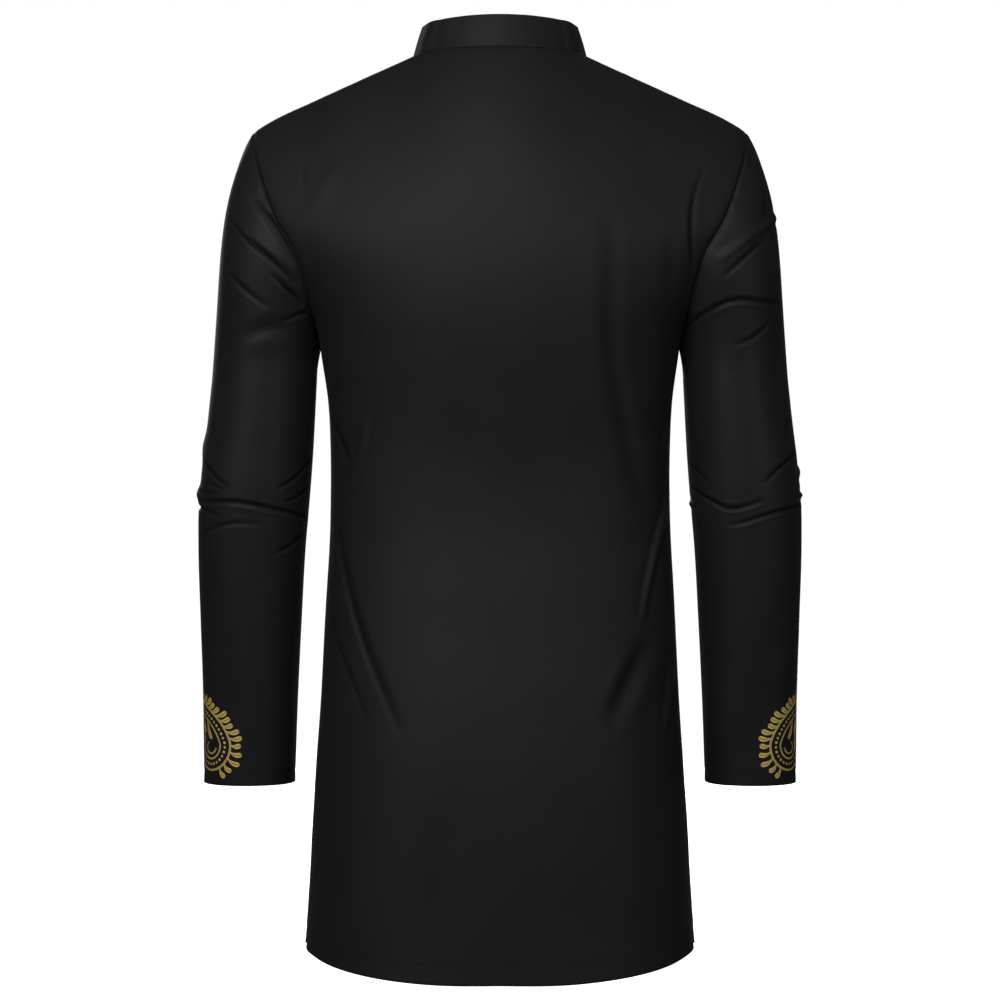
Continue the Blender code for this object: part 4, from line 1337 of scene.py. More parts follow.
LEFT_SLEEVE_CREASES = (
    Crease(((46, -141), (64, -157), (84, -179), (105, -204), (124, -222)), 1.9, 2.7, 0.12, 0.15),
    Crease(((124, -186), (133, -205), (141, -226)), 3.2, 3.4, 0.05),
    Crease(((34, -159), (71, -188), (86, -199)), 1.63, 1.33, 0.12),
    Crease(((62, -178), (84, -196), (98, -208), (110, -219)), 1.63, 1.63, 0.12),
    Crease(((93, -214), (109, -226), (126, -238)), 1.63, 1.85, 0.14),
    Crease(((49, -209), (72, -226), (94, -241)), 2.24, 1.48, 0.1),
    Crease(((113, -255), (126, -248), (140, -244)), 1.72, 2.15, 0.12),
    Crease(((71, -269), (94, -260), (119, -260)), 7, 1.8),
    Crease(((28, -421), (52, -421), (77, -421), (95, -424), (119, -429), (139, -432),
            (168, -437)), 1.89, 2.89, 0.15, 0.2),
    Crease(((10, -380), (34, -388), (50, -398), (69, -408)), 1.89, 1.85, 0.14),
    Crease(((36, -402), (52, -406), (66, -412)), 1.46, 1.26, 0.1),
    Crease(((8, -410), (24, -412), (40, -413), (57, -414)), 1.46, 1.55, 0.1),
    Crease(((172, -380), (156, -388), (141, -399), (119, -409)), 1.89, 2, 0.14),
    Crease(((176, -406), (160, -411), (145, -417), (130, -422)), 1.63, 1.85, 0.12),
    Crease(((2, -426), (23, -427), (45, -430), (62, -436)), 1.55, 1.63, 0.12),
    Crease(((30, -452), (58, -444), (81, -441), (100, -443)), 1.89, 1.26, 0.1),
    Crease(((178, -446), (160, -453), (140, -463), (119, -470)), 1.89, 1.55, 0.12),
    Crease(((225, -238), (255, -214), (290, -182)), 3.4, 2.7, 0.4),
    Crease(((232, -262), (268, -240), (305, -214)), 3.4, 2, 0.4),
    Crease(((190, -437), (230, -431), (275, -420), (320, -423),
            (352, -424)), 2.06, 2.59, 0.15, 0.2),
    Crease(((205, -404), (240, -402), (270, -394)), 1.89, 1.63, 0.12),
    Crease(((232, -462), (272, -450), (310, -452)), 2.06, 1.63, 0.12),
    Crease(((300, -396), (332, -390), (354, -382)), 1.89, 1.55, 0.12),
    Crease(((-24, -366), (0, -369), (20, -370)), 11, -1.8, 0.1),
    Crease(((-26, -412), (0, -414), (24, -415)), 6.5, -2.8, 0.1),
    Crease(((-22, -427), (0, -427), (18, -427)), 2.06, 1.63, 0.06),
    Crease(((60, -520), (72, -590), (70, -650)), 16, 1.6),
    Crease(((250, -510), (262, -590), (258, -650)), 16, 1.6),
)
RIGHT_SLEEVE_CREASES = (
    Crease(((4, -149), (51, -170), (67, -180), (91, -199)), 2.6, -2, 0.4),
    Crease(((46, -178), (61, -186), (78, -199), (94, -213)), 1.81, 2, 0.12),
    Crease(((160, -262), (147, -256), (120, -245), (101, -237), (85, -234), (66, -236),
            (36, -236)), 1.98, 2.52, 0.15, -0.15),
    Crease(((56, -256), (73, -268), (94, -277)), 2.06, 1.48, 0.12),
    Crease(((18, -91), (28, -109)), 1.63, 0.74, 0.1),
    Crease(((30, -134), (38, -157)), 1.63, 0.96, 0.1),
    Crease(((168, -408), (150, -414), (128, -423), (112, -429), (97, -427),
            (80, -421)), 1.89, 2.66, 0.15, 0.15),
    Crease(((112, -443), (98, -441), (85, -436), (68, -431), (44, -427),
            (14, -424)), 1.72, 2.15, 0.15, -0.15),
    Crease(((16, -372), (41, -382), (62, -393), (76, -404)), 1.89, 2, 0.12),
    Crease(((172, -384), (152, -392), (136, -402)), 1.89, 1.63, 0.12),
    Crease(((-10, -386), (4, -392), (18, -398)), 3.1, -1.7, 0.2),
    Crease(((-10, -414), (2, -415), (16, -416)), 2.3, -2, 0.2),
    Crease(((168, -424), (180, -423), (194, -424)), 2.6, -1.7, 0.2),
    Crease(((22, -610), (21, -650), (20, -692)), 1.7, -0.9, 0.3),
    Crease(((228, -240), (262, -216), (296, -188)), 3.4, 2.5, 0.4),
    Crease(((224, -270), (262, -254), (300, -246)), 2.24, 1.55, 0.12),
    Crease(((192, -428), (232, -436), (274, -430), (318, -421),
            (348, -420)), 1.98, 2.52, 0.15, 0.2),
    Crease(((210, -402), (246, -408), (280, -402)), 1.89, 1.63, 0.12),
    Crease(((240, -456), (280, -462), (322, -454)), 2.06, 1.55, 0.12),
    Crease(((66, -520), (80, -590), (84, -650)), 16, 1.5),
    Crease(((256, -520), (268, -600), (264, -650)), 16, 1.6),
)


@dataclass
class BodyPanel(ClothPiece):
    """The back or the front: one sheet from the shoulders to the curved tail hem."""

    form: BodyForm
    side: Side
    node: str
    creases: tuple[Crease, ...]
    flat: tuple[float, float]
    flat_area: float
    wall: float = 0.7
    hem_wall: float = 1.5
    hem_depth: float = 16
    vent_hem_depth: float = 9
    stitch_inset: float = 1.5
    end_inset: float = 5
    first_stitch_row: int = 4
    vent_reach: float = 18
    seam_dip: float = 0.75
    seam_reach: float = 2.6
    seam_allowance: float = 2.8
    fineness: int = 7
    upper_rows: int = 7
    lower_step: float = 3.4
    calm_reach: float = 16
    calm_passes: int = 70
    facing_start: float = 0.08
    facing_span: float = 0.4
    calm_armhole: float = 12
    calm_top: float = 14
    calm_side: float = 5
    vent_fade_rows: int = 4
    vent_start: float = 0.2
    vent_roll: float = 0.2
    hem_roll: float = 0.35
    wave_length: float = 210
    wave_height: float = 0.55
    pucker_height: float = 0.3
    top_pucker: Pair = (9, 15)
    side_pucker: Pair = (10, 24)
    lower_pucker: float = 0.4
    sheet: ClothSheet = field(init=False)

    def heights(self) -> Array:
        """Return the heights of the rows below the chest, the vent's and slot's among them."""
        marks = [self.form.hem_z, self.form.vent_z, self.form.slot_end_z, self.form.chest_z]
        rows = []
        for low, high in zip(marks[:-1], marks[1:]):
            count = max(1, round((high - low) / self.lower_step))
            rows.append(np.linspace(low, high, count, endpoint=False))
        return np.concatenate(rows + [[self.form.chest_z]])

    def shape(self) -> None:
        """Lay the cloth over the body and give it its creases, seams and hems."""
        heights = self.heights()
        lower = len(heights) - 1
        half = self.form.half_panel(self.side, heights, self.fineness, self.upper_rows)
        base = self.calm_chest(np.concatenate((half[:, :0:-1] * MIRROR, half), axis=1), lower)
        self.sheet = ClothSheet(base, around=False, wall=self.wall)
        sheet = self.sheet
        rows, columns = base.shape[:2]
        row_number = np.broadcast_to(np.arange(rows)[:, None], (rows, columns))
        upper = row_number >= lower
        from_side = np.minimum(sheet.across, sheet.across[:, -1:] - sheet.across)
        from_top = sheet.up[-1:] - sheet.up
        vent_row = int(np.argmin(np.abs(heights - self.form.vent_z)))
        facing = self.side.value * sheet.normals[..., 1] - self.facing_start
        facing = ease(facing / self.facing_span)
        calm = ease(np.where(upper, from_side / self.calm_armhole, 1))
        calm = calm * ease(from_top / self.calm_top) * ease(from_side / self.calm_side)
        places = base[..., (0, 2)]
        height = np.zeros(base.shape[:2])
        for crease in self.creases:
            lift, crease_shade = crease.height_at(places)
            height += lift
            # Painted crease shade, kept where the crease faces out and away from the seams.
            sheet.crease_shade = np.maximum(sheet.crease_shade, crease_shade * facing * calm)
        height = height * facing * calm
        height = height + self.wave_height * calm * gentle_waves(
            base[..., 0], base[..., 2], self.wave_length, 1 + self.side.value
        )
        height = height + self.puckers(from_top, from_side, upper, base)
        sheet.lift(height)
        self.spread_vents(sheet, heights, vent_row)
        seam_side = np.where(row_number >= vent_row, from_side, FAR)
        seam = np.minimum(seam_side, from_top)
        sheet.sew_edge(seam, self.seam_dip, self.seam_reach, self.seam_allowance)
        vent_fade = ease((vent_row - row_number) / self.vent_fade_rows)
        from_vent = from_side + (1 - vent_fade) * FAR
        sheet.turn_hem(from_vent, self.vent_hem_depth, self.hem_wall, self.vent_roll)
        sheet.turn_hem(sheet.up, self.hem_depth, self.hem_wall, self.hem_roll)
        sheet.folded[0] = True
        sheet.folded[: vent_row + 1, (0, -1)] = True
        if self.side is Side.FRONT:
            first = int(np.argmin(np.abs(heights - self.form.slot_end_z)))
            middle = (columns - 1) // 2
            sheet.kept[first:, middle - self.fineness : middle + self.fineness] = False
        self.vent_row = vent_row

    def calm_chest(self, grid: Points, chest_row: int) -> Points:
        """Round off the bend where the upper body meets the torso.

        Args:
            grid: The panel's points.
            chest_row: The row where they meet.

        Returns:
            The smoothed points. The side edges stay where they are.
        """
        rows, columns = grid.shape[:2]
        near = bell(np.arange(rows) - chest_row, self.calm_reach)
        place = np.arange(columns)
        inside = ease(np.minimum(place, columns - 1 - place) / (1.5 * self.fineness))
        weight = (0.5 * near[:, None] * inside[None, :])[1:-1, :, None]
        for _ in range(self.calm_passes):
            grid[1:-1] += weight * ((grid[:-2] + grid[2:]) / 2 - grid[1:-1])
        return grid

    def puckers(self, from_top: Array, from_side: Array, upper: Array, base: Points) -> Array:
        """Return the small puckers beside the neck, shoulder and armhole seams.

        Args:
            from_top: Distance from the top edge.
            from_side: Distance from the side edge.
            upper: Whether a point lies above the chest.
            base: The points before they are moved.

        Returns:
            Heights of the puckers.
        """
        across, up = base[..., 0], base[..., 2]
        reach, length = self.top_pucker
        top = bell(from_top, reach) * gentle_waves(across, 0 * up, length, 0.7)
        reach, length = self.side_pucker
        side = bell(from_side, reach) * gentle_waves(0 * across, up, length, 2.1)
        return self.pucker_height * (top + np.where(upper, side, self.lower_pucker * side))

    def spread_vents(self, sheet: ClothSheet, heights: Array, vent_row: int) -> None:
        """Open the side vents a little towards the hem.

        Args:
            sheet: The panel's cloth.
            heights: Heights of its rows.
            vent_row: The row where the vents start.
        """
        share = np.clip(
            (self.form.vent_z - heights[:vent_row]) / (self.form.vent_z - self.form.hem_z), 0, 1
        )
        for column, out in ((0, -1), (-1, 1)):
            distance = np.abs(sheet.across - sheet.across[:, column][:, None])[:vent_row]
            near = bell(distance, self.vent_reach)
            spread = self.vent_start + self.form.vent_spread * share
            sheet.grid[:vent_row, :, 1] += self.side.value * near * spread[:, None]
            turned = -out * self.side.value * self.form.vent_flare * share
            sheet.grid[:vent_row, :, 0] += near * turned[:, None]
        sheet.normals = sheet.find_normals()

    def sew_lines(self, run: StitchRun) -> None:
        """Lay the visible stitches of the hem and the vents.

        Args:
            run: The stitches of the body.
        """
        sheet = self.sheet
        places = np.arange(sheet.grid.shape[1])
        across = sheet.distance_across()[self.first_stitch_row]
        inside = (across > self.end_inset) & (across < across[-1] - self.end_inset)
        row = sheet.rows_at(self.hem_depth - self.stitch_inset, places)
        run.sew(*sheet.sample(row[inside], places[inside]))
        levels = np.arange(self.first_stitch_row, self.vent_row + 1)
        for far in (False, True):
            columns = sheet.columns_at(self.vent_hem_depth - self.stitch_inset, levels, far)
            run.sew(*sheet.sample(levels, columns))


@dataclass
class Sleeve(ClothPiece):
    """A set-in sleeve: a cap with soft folds, an elbow full of creases and a plain turned hem."""

    form: SleeveForm
    hand: Hand
    node: str
    creases: tuple[Crease, ...]
    flat: tuple[float, float]
    flat_area: float
    wall: float = 0.7
    hem_wall: float = 1.5
    hem_depth: float = 11
    seam_dip: float = 0.75
    seam_reach: float = 2.6
    seam_allowance: float = 2.8
    underarm_dip: float = 0.45
    tuck: float = 1.3
    tuck_reach: float = 2.2
    body_middle: tuple[float, float, float] = (90, 0, -200)
    turn_radius: float = 52
    fineness: int = 8
    cap_rows: int = 104
    slot: ClassVar[Slot] = Slot.SLEEVE_CLOTH
    level_marks: tuple[float, ...] = (-306, -366, -480, -689)
    level_steps: tuple[float, ...] = (2.8, 1.55, 3.4)
    stitch_inset: float = 1.5
    calm_cap: float = 10
    shade_cap: float = 3
    pucker_reach: float = 11
    underarm_narrowing: float = 0.85
    underarm_half: float = 1.8
    underarm_shade: float = 6
    hem_roll: float = 0.3
    wave_height: float = 0.5
    pucker_height: float = 0.35
    waves: tuple[tuple[float, ...], ...] = ((2, 70, 0.4, 0.5), (3, 46, 1.9, 0.3), (5, 33, 2.6, 0.2))
    sheet: ClothSheet = field(init=False)

    def shape(self) -> None:
        """Lay the sleeve's cloth and give it its creases, seams and hem."""
        rows = []
        for high, low, step in zip(self.level_marks, self.level_marks[1:], self.level_steps):
            rows.append(np.linspace(high, low, round((high - low) / step), endpoint=False))
        heights = np.concatenate(rows + [[self.form.hem_z]])
        base = self.form.grid(self.fineness, self.cap_rows, heights)
        self.sheet = ClothSheet(base, around=True, wall=self.wall)
        sheet = self.sheet
        columns = base.shape[1]
        turns = np.arange(columns) * 360 / columns
        from_top = sheet.up[-1:] - sheet.up
        calm = ease(from_top / self.calm_cap)
        near_cap = ease(from_top / self.shade_cap)
        radius = math.radians(1) * self.turn_radius
        height = np.zeros(base.shape[:2])
        for crease in self.creases:
            flat = Crease(
                tuple((turn * radius, up) for turn, up in crease.line),
                crease.half_width, crease.depth, crease.lip, crease.lean,
            )
            strongest = np.zeros(base.shape[:2])
            for whole in (-360, 0, 360):
                way = np.broadcast_to(((turns + whole) * radius)[None, :], base.shape[:2])
                lift, crease_shade = flat.height_at(np.stack([way, base[..., 2]], axis=-1))
                strongest = np.where(np.abs(lift) > np.abs(strongest), lift, strongest)
                # Painted crease shade, kept away from the armhole seam.
                sheet.crease_shade = np.maximum(sheet.crease_shade, crease_shade * near_cap)
            height += strongest
        radians = np.radians(turns)[None, :]
        waves = sum(
            size * np.sin(order * radians + base[..., 2] / length + phase)
            for order, length, phase, size in self.waves
        )
        height = height * calm + self.wave_height * waves * calm
        pucker = bell(from_top, self.pucker_reach)
        height += self.pucker_height * pucker * (
            np.sin(19 * radians + 0.6) * 0.6 + np.sin(31 * radians + 2) * 0.4
        )
        sheet.lift(height)
        sheet.sew_edge(from_top, self.seam_dip, self.seam_reach, self.seam_allowance)
        inside = np.array(self.body_middle) - sheet.grid
        close = bell(from_top, self.tuck_reach)[..., None]
        sheet.grid = sheet.grid + unit(inside) * close * self.tuck
        from_seam = np.abs(turns - 180)[None, :] * radius * self.underarm_narrowing
        from_seam = np.broadcast_to(from_seam, from_top.shape)
        sheet.lift(-self.underarm_dip * bell(from_seam, self.underarm_half))
        # Painted shade and pucker along the underarm seam.
        sheet.seam_shade_and_pucker = np.maximum(sheet.seam_shade_and_pucker, bell(from_seam, self.underarm_shade))
        sheet.turn_hem(sheet.up, self.hem_depth, self.hem_wall, self.hem_roll)
        sheet.folded[0] = True
        if self.hand is Hand.RIGHT:
            sheet.grid = sheet.grid * MIRROR
            sheet.normals = sheet.normals * MIRROR

    def on_cuff(self, around: Array, above: Array) -> tuple[Points, Array]:
        """Return places on the lower sleeve by their flat measures.

        Args:
            around: Distance round from the outer line, towards the back, in millimetres.
            above: Distance above the hem.

        Returns:
            The points and normals.
        """
        sheet = self.sheet
        rows, columns = sheet.grid.shape[:2]
        row = np.interp(above, sheet.up[:, 0], np.arange(rows))
        across = sheet.pattern()[..., 0]
        level = np.clip(np.round(row).astype(int), 0, rows - 1)
        wanted = np.where(around < 0, across[level, -1] + around, around)
        column = np.empty(np.shape(around))
        marks = np.arange(columns + 1, dtype=float)
        for index in np.unique(level):
            here = level == index
            column[here] = np.interp(wanted[here], across[index], marks)
        return sheet.sample(row, column)

    def sew_lines(self, run: StitchRun) -> None:
        """Lay the stitches of the sleeve hem.

        Args:
            run: The sleeve's stitches.
        """
        places = np.arange(self.sheet.grid.shape[1] + 1)
        row = self.sheet.rows_at(self.hem_depth - self.stitch_inset, places)
        run.sew(*self.sheet.sample(row, places))


@dataclass
class CuffPrint:
    """A paisley at the outer side of a cuff: a leaning drop with dots, a hook, a leaf and petals.

    Its own plane has X round the sleeve towards the back and Y up from the hem, in millimetres.
    """

    sleeve: Sleeve
    bulb: Pair = (34, 38)
    bend: Pair = (31, 66)
    tip: Pair = (-24, 82)
    bulb_radius: float = 24.5
    petal_length: float = 13.5
    petal_half_width: float = 2.3
    petal_pitch: float = 6.3
    petal_end: float = 0.462
    petal_curve: float = 1.7
    spray_around: float = -12
    band: float = 11
    line_half_width: float = 0.95
    proud: float = 0.1
    dome: float = 0.08
    dot_pitch: float = 4.5
    dot_radii: Pair = (1.35, 1.2)
    hook_steps: int = 46
    hook_middle: Pair = (-1, -1)
    hook_turns: Pair = (-10, -250)
    hook_reach: Pair = (9.5, 3.2)
    hook_width: Pair = (0.8, 0.5)
    leaves: tuple[tuple[Pair, Pair, float, float], ...] = (
        ((-5, 24), (2.5, 5), 2.3, 1.6),
        ((-14, 27), (-9.5, 11), 1.5, 1.2),
    )
    spray_root: float = 92
    spray_size: Pair = (7, 46)
    spray_sway: float = 2.2
    spray_leaves: tuple[float, ...] = (0.08, 0.26, 0.44, 0.62, 0.8)
    points: list[Points] = field(default_factory=list)
    faces: list[Array] = field(default_factory=list)
    cores: list[Array] = field(default_factory=list)
    count: int = 0

    def outline(self, inset: float, samples: int = 160) -> Array:
        """Return the drop's outline, drawn in by an inset.

        Args:
            inset: How far inside the full outline.
            samples: Points on the line.

        Returns:
            Points from the tip, along the convex side, round the bulb and back up the other side.
        """
        bulb, bend, tip = (np.array(place) for place in (self.bulb, self.bend, self.tip))
        part = np.linspace(1, 0, samples // 2)[:, None]
        spine = (1 - part) ** 2 * bulb + 2 * part * (1 - part) * bend + part**2 * tip
        ahead = unit(2 * (1 - part) * (bend - bulb) + 2 * part * (tip - bend))
        right = np.stack([ahead[:, 1], -ahead[:, 0]], axis=1)
        radius = np.maximum(self.bulb_radius * (1 - part) ** 0.72 - inset, 0)
        convex = spine + right * radius
        concave = (spine - right * radius)[::-1]
        first = math.atan2(right[-1, 1], right[-1, 0])
        turns = np.linspace(first, first - math.pi, samples // 2)[1:-1]
        size = self.bulb_radius - inset
        cap = bulb + size * np.stack([np.cos(turns), np.sin(turns)], axis=1)
        return np.concatenate((convex, cap, concave))

    def add_patch(self, rows: Points, closed: bool = False) -> None:
        """Lay a strip of print on the cloth.

        Args:
            rows: Places in the print's plane: along the strip, then across it.
            closed: Whether the strip is a disc of rings round its middle.
        """
        length, width = rows.shape[:2]
        if closed:
            core = np.repeat(np.linspace(1, 0, length)[:, None], width, axis=1)
        else:
            core = np.repeat(1 - np.abs(np.linspace(-1, 1, width))[None, :], length, axis=0)
        place, normal = self.sleeve.on_cuff(rows[..., 0].ravel(), rows[..., 1].ravel())
        lift = self.proud + self.dome * np.sqrt(np.clip(core.ravel(), 0, 1))
        self.points.append(place + normal * lift[:, None])
        self.cores.append(core.ravel())
        number = self.count + np.arange(core.size).reshape(core.shape)
        corners = (number[:-1, :-1], number[:-1, 1:], number[1:, 1:], number[1:, :-1])
        faces = np.stack(corners, axis=-1)
        self.faces.append(faces.reshape(-1, 4))
        self.count += number.size

    def draw_line(self, path: Array, half_width: Array | float) -> None:
        """Draw a ribbon along a path.

        Args:
            path: Places in the print's plane.
            half_width: Half its width, one value or one for each place.
        """
        ahead = unit(np.gradient(path, axis=0))
        right = np.stack([ahead[:, 1], -ahead[:, 0]], axis=1)
        width = np.broadcast_to(half_width, (len(path),))[:, None, None]
        across = np.linspace(-1, 1, 5)[None, :, None]
        self.add_patch(path[:, None] + right[:, None] * across * width)

    def draw_drop(self, base: Array, tip: Array, half_width: float, curve: float) -> None:
        """Draw a petal that is narrow at its base and round at its tip.

        Args:
            base: Where it starts.
            tip: Where it ends.
            half_width: Half its greatest width.
            curve: How far it bends sideways.
        """
        part = np.linspace(0, 1, 15)
        ahead = tip - base
        right = np.array([ahead[1], -ahead[0]]) / np.linalg.norm(ahead)
        path = base + part[:, None] * ahead + np.sin(math.pi * part)[:, None] * right * curve
        width = half_width * (0.3 + 0.7 * ease(part / 0.7)) * np.sqrt(
            np.clip(1 - ((part - 0.78) / 0.22).clip(0, 1) ** 2, 0, 1)
        )
        self.draw_line(path, np.maximum(width, 0.02))

    def draw_dot(self, middle: Array, radius: float) -> None:
        """Draw a round dot."""
        turns = np.linspace(0, 2 * math.pi, 11)
        ring = np.stack([np.cos(turns), np.sin(turns)], axis=1)
        reach = np.array([0.02, 0.55, 1])[:, None, None] * radius
        self.add_patch(middle + ring[None] * reach, closed=True)

    def spaced(self, path: Array, pitch: float, start: float, end: float) -> tuple[Array, Array]:
        """Return evenly spaced places on a path and the directions along it.

        Args:
            path: Places in the print's plane.
            pitch: Distance between them.
            start: Distance left out at the start.
            end: Distance left out at the end.

        Returns:
            The places and the directions.
        """
        length = path_lengths(path)
        count = max(2, round((length[-1] - start - end) / pitch))
        wanted = np.linspace(start, length[-1] - end, count)
        way = read_along(length, np.gradient(path, axis=0), wanted)
        return read_along(length, path, wanted), unit(way)

    def draw(self) -> None:
        """Draw the whole motif and the small spray above it."""
        outline = self.outline(0)
        self.draw_line(outline, self.line_half_width)
        inner = self.outline(self.band)[12:-34]
        self.draw_line(inner, self.line_half_width * 0.8)
        places, _ = self.spaced(self.outline(0.52 * self.band)[12:-18], self.dot_pitch, 2, 2)
        for number, place in enumerate(places):
            self.draw_dot(place, self.dot_radii[number % 2])
        middle = np.array(self.bulb)
        turns = np.radians(np.linspace(*self.hook_turns, self.hook_steps))
        reach = np.linspace(*self.hook_reach, self.hook_steps)
        hook = np.stack([np.cos(turns) * reach, np.sin(turns) * reach], axis=1)
        hook = middle + np.array(self.hook_middle) + hook
        self.draw_line(hook, np.linspace(*self.hook_width, self.hook_steps))
        for base, tip, half_width, curve in self.leaves:
            self.draw_drop(middle + np.array(base), middle + np.array(tip), half_width, curve)
        half = outline[: int(len(outline) * self.petal_end)]
        places, ways = self.spaced(half, self.petal_pitch, 24, 0)
        for number, (place, way) in enumerate(zip(places, ways)):
            out = np.array([way[1], -way[0]])
            if np.dot(out, place - middle) < 0:
                out = -out
            lean = (0.9 * max(out[1], 0) - 0.05) * way
            size = self.petal_length * (0.86 + 0.14 * math.sin(1.9 * number + 0.5))
            base = place + out * 0.6
            tip = base + unit(out + lean) * size
            self.draw_drop(base, tip, self.petal_half_width, self.petal_curve)
        self.draw_spray()

    def draw_spray(self) -> None:
        """Draw the small spray of leaves above the paisley's tip, mostly on the front."""
        root = np.array((self.spray_around, self.spray_root))
        sway, height = self.spray_size

        def stem(part: Array) -> Array:
            """Return places on the stem at shares of its height."""
            return root + np.stack([sway * np.sin(self.spray_sway * part), height * part], axis=-1)

        self.draw_line(stem(np.linspace(0, 1, 40)), np.linspace(0.65, 0.3, 40))
        for number, share in enumerate(self.spray_leaves):
            place = stem(np.array(share))
            size = 11 - 1.5 * number
            for side in (-1, 1):
                tip = place + unit(np.array((side * 0.85, 0.6))) * size
                self.draw_drop(place, tip, 1.9 - 0.2 * number, -side * 1)
        top = stem(np.array(1))
        self.draw_drop(top - np.array((0, 0.4)), top + np.array((-1.2, 9)), 1.6, 0.6)
        for step in range(3):
            self.draw_dot(top + np.array((-1.6, 12.5 + 4 * step)), 0.95 - 0.2 * step)

    def build(self, material: Material) -> Object:
        """Draw the print and make it a thin piece on the cuff."""
        self.draw()
        points, faces = np.concatenate(self.points), np.concatenate(self.faces)
        if self.sleeve.hand is Hand.LEFT:
            faces = faces[:, ::-1]
        name = "cuff_print_" + self.sleeve.hand.name.lower()
        piece = make_object(name, points, faces, values={"core": np.concatenate(self.cores)})
        return dress(piece, material)


@dataclass
class CollarStand(ClothPiece):
    """The stand collar: one interlined band whose ends meet at the centre front."""

    form: BodyForm
    node: str = "collar_stand"
    flat: tuple[float, float] = (0.452, 0.036)
    height: float = 30
    top_half: float = 73.5
    top_back: float = 45
    top_front: float = -57
    top_front_z: float = -22
    top_side_z: float = 29
    top_back_z: float = 33
    end_gap: float = 0.35
    wall: float = 1.5
    rows: int = 11
    stations: int = 66
    overlap: float = 1.8
    seam_step: float = 0.7
    top_inset: float = 2.2
    base_inset: float = 1.8
    bulge: float = 0.35
    pucker_height: float = 0.22
    pucker_reach: float = 6
    pucker_length: float = 13
    stitch_dip: float = 0.16
    rim_steps: ClassVar[int] = 5
    end_cut: SizeTable = SizeTable(
        ("from_end", "drop"),
        ((0, 9), (4, 3), (10, 0.6), (14, 0), (20, 0)),
    )
    sheet: ClothSheet = field(init=False)

    def shape(self) -> None:
        """Raise the band from the neck seam and round its front ends."""
        shares = np.linspace(0, 1, self.stations) ** 1.15
        front = self.form.neckline(Side.FRONT, shares)
        back = self.form.neckline(Side.BACK, np.linspace(0, 1, self.stations))
        base = np.concatenate((front, back[-2::-1]))
        front_y, back_y = base[0, 1], base[-1, 1]
        outwards = unit(base * np.array([1, 1, 0]))
        base = base + outwards * self.seam_step - np.array([0, 0, self.overlap])
        from_end = path_lengths(base)
        top_z = np.interp(
            base[:, 1], (front_y, 0, back_y), (self.top_front_z, self.top_side_z, self.top_back_z)
        )
        deep = np.where(base[:, 1] > 0, self.top_back / back_y, self.top_front / front_y)
        narrow = self.top_half / self.form.neck_half
        top = np.stack([base[:, 0] * narrow, base[:, 1] * deep, top_z], axis=1)
        share = 1 - self.end_cut.at("drop", from_end) / self.height
        part = np.linspace(0, 1, self.rows)[:, None, None]
        half = base[None] + (top - base)[None] * part * share[None, :, None]
        half[:, 0, 0] += self.end_gap
        grid = np.concatenate((half, half[:, -2::-1] * MIRROR), axis=1)
        self.sheet = ClothSheet(grid, around=False, wall=self.wall)
        sheet = self.sheet
        from_base = sheet.up
        from_top = sheet.up[-1:] - sheet.up
        part = np.clip(from_base / (from_base + from_top), 0, 1)
        waves = gentle_waves(sheet.across, 0 * sheet.up, self.pucker_length, 1.3)
        pucker = self.pucker_height * bell(from_base, self.pucker_reach) * waves
        stitch = -self.stitch_dip * bell(from_top - self.top_inset, 1.6)
        sheet.lift(self.bulge * np.sin(math.pi * part) + pucker + stitch)
        # Painted shade and pucker beside the neck seam.
        sheet.seam_shade_and_pucker = bell(from_base, 5)
        sheet.folded[-1] = True
        sheet.folded[:, (0, -1)] = True

    def sew_lines(self, run: StitchRun) -> None:
        """Lay the edge stitches along the band's top and bottom.

        Args:
            run: The stitches of the body.
        """
        sheet = self.sheet
        places = np.arange(3, sheet.grid.shape[1] - 3)
        for inset, far in ((self.base_inset, False), (self.top_inset, True)):
            run.sew(*sheet.sample(sheet.rows_at(inset, places, far), places))


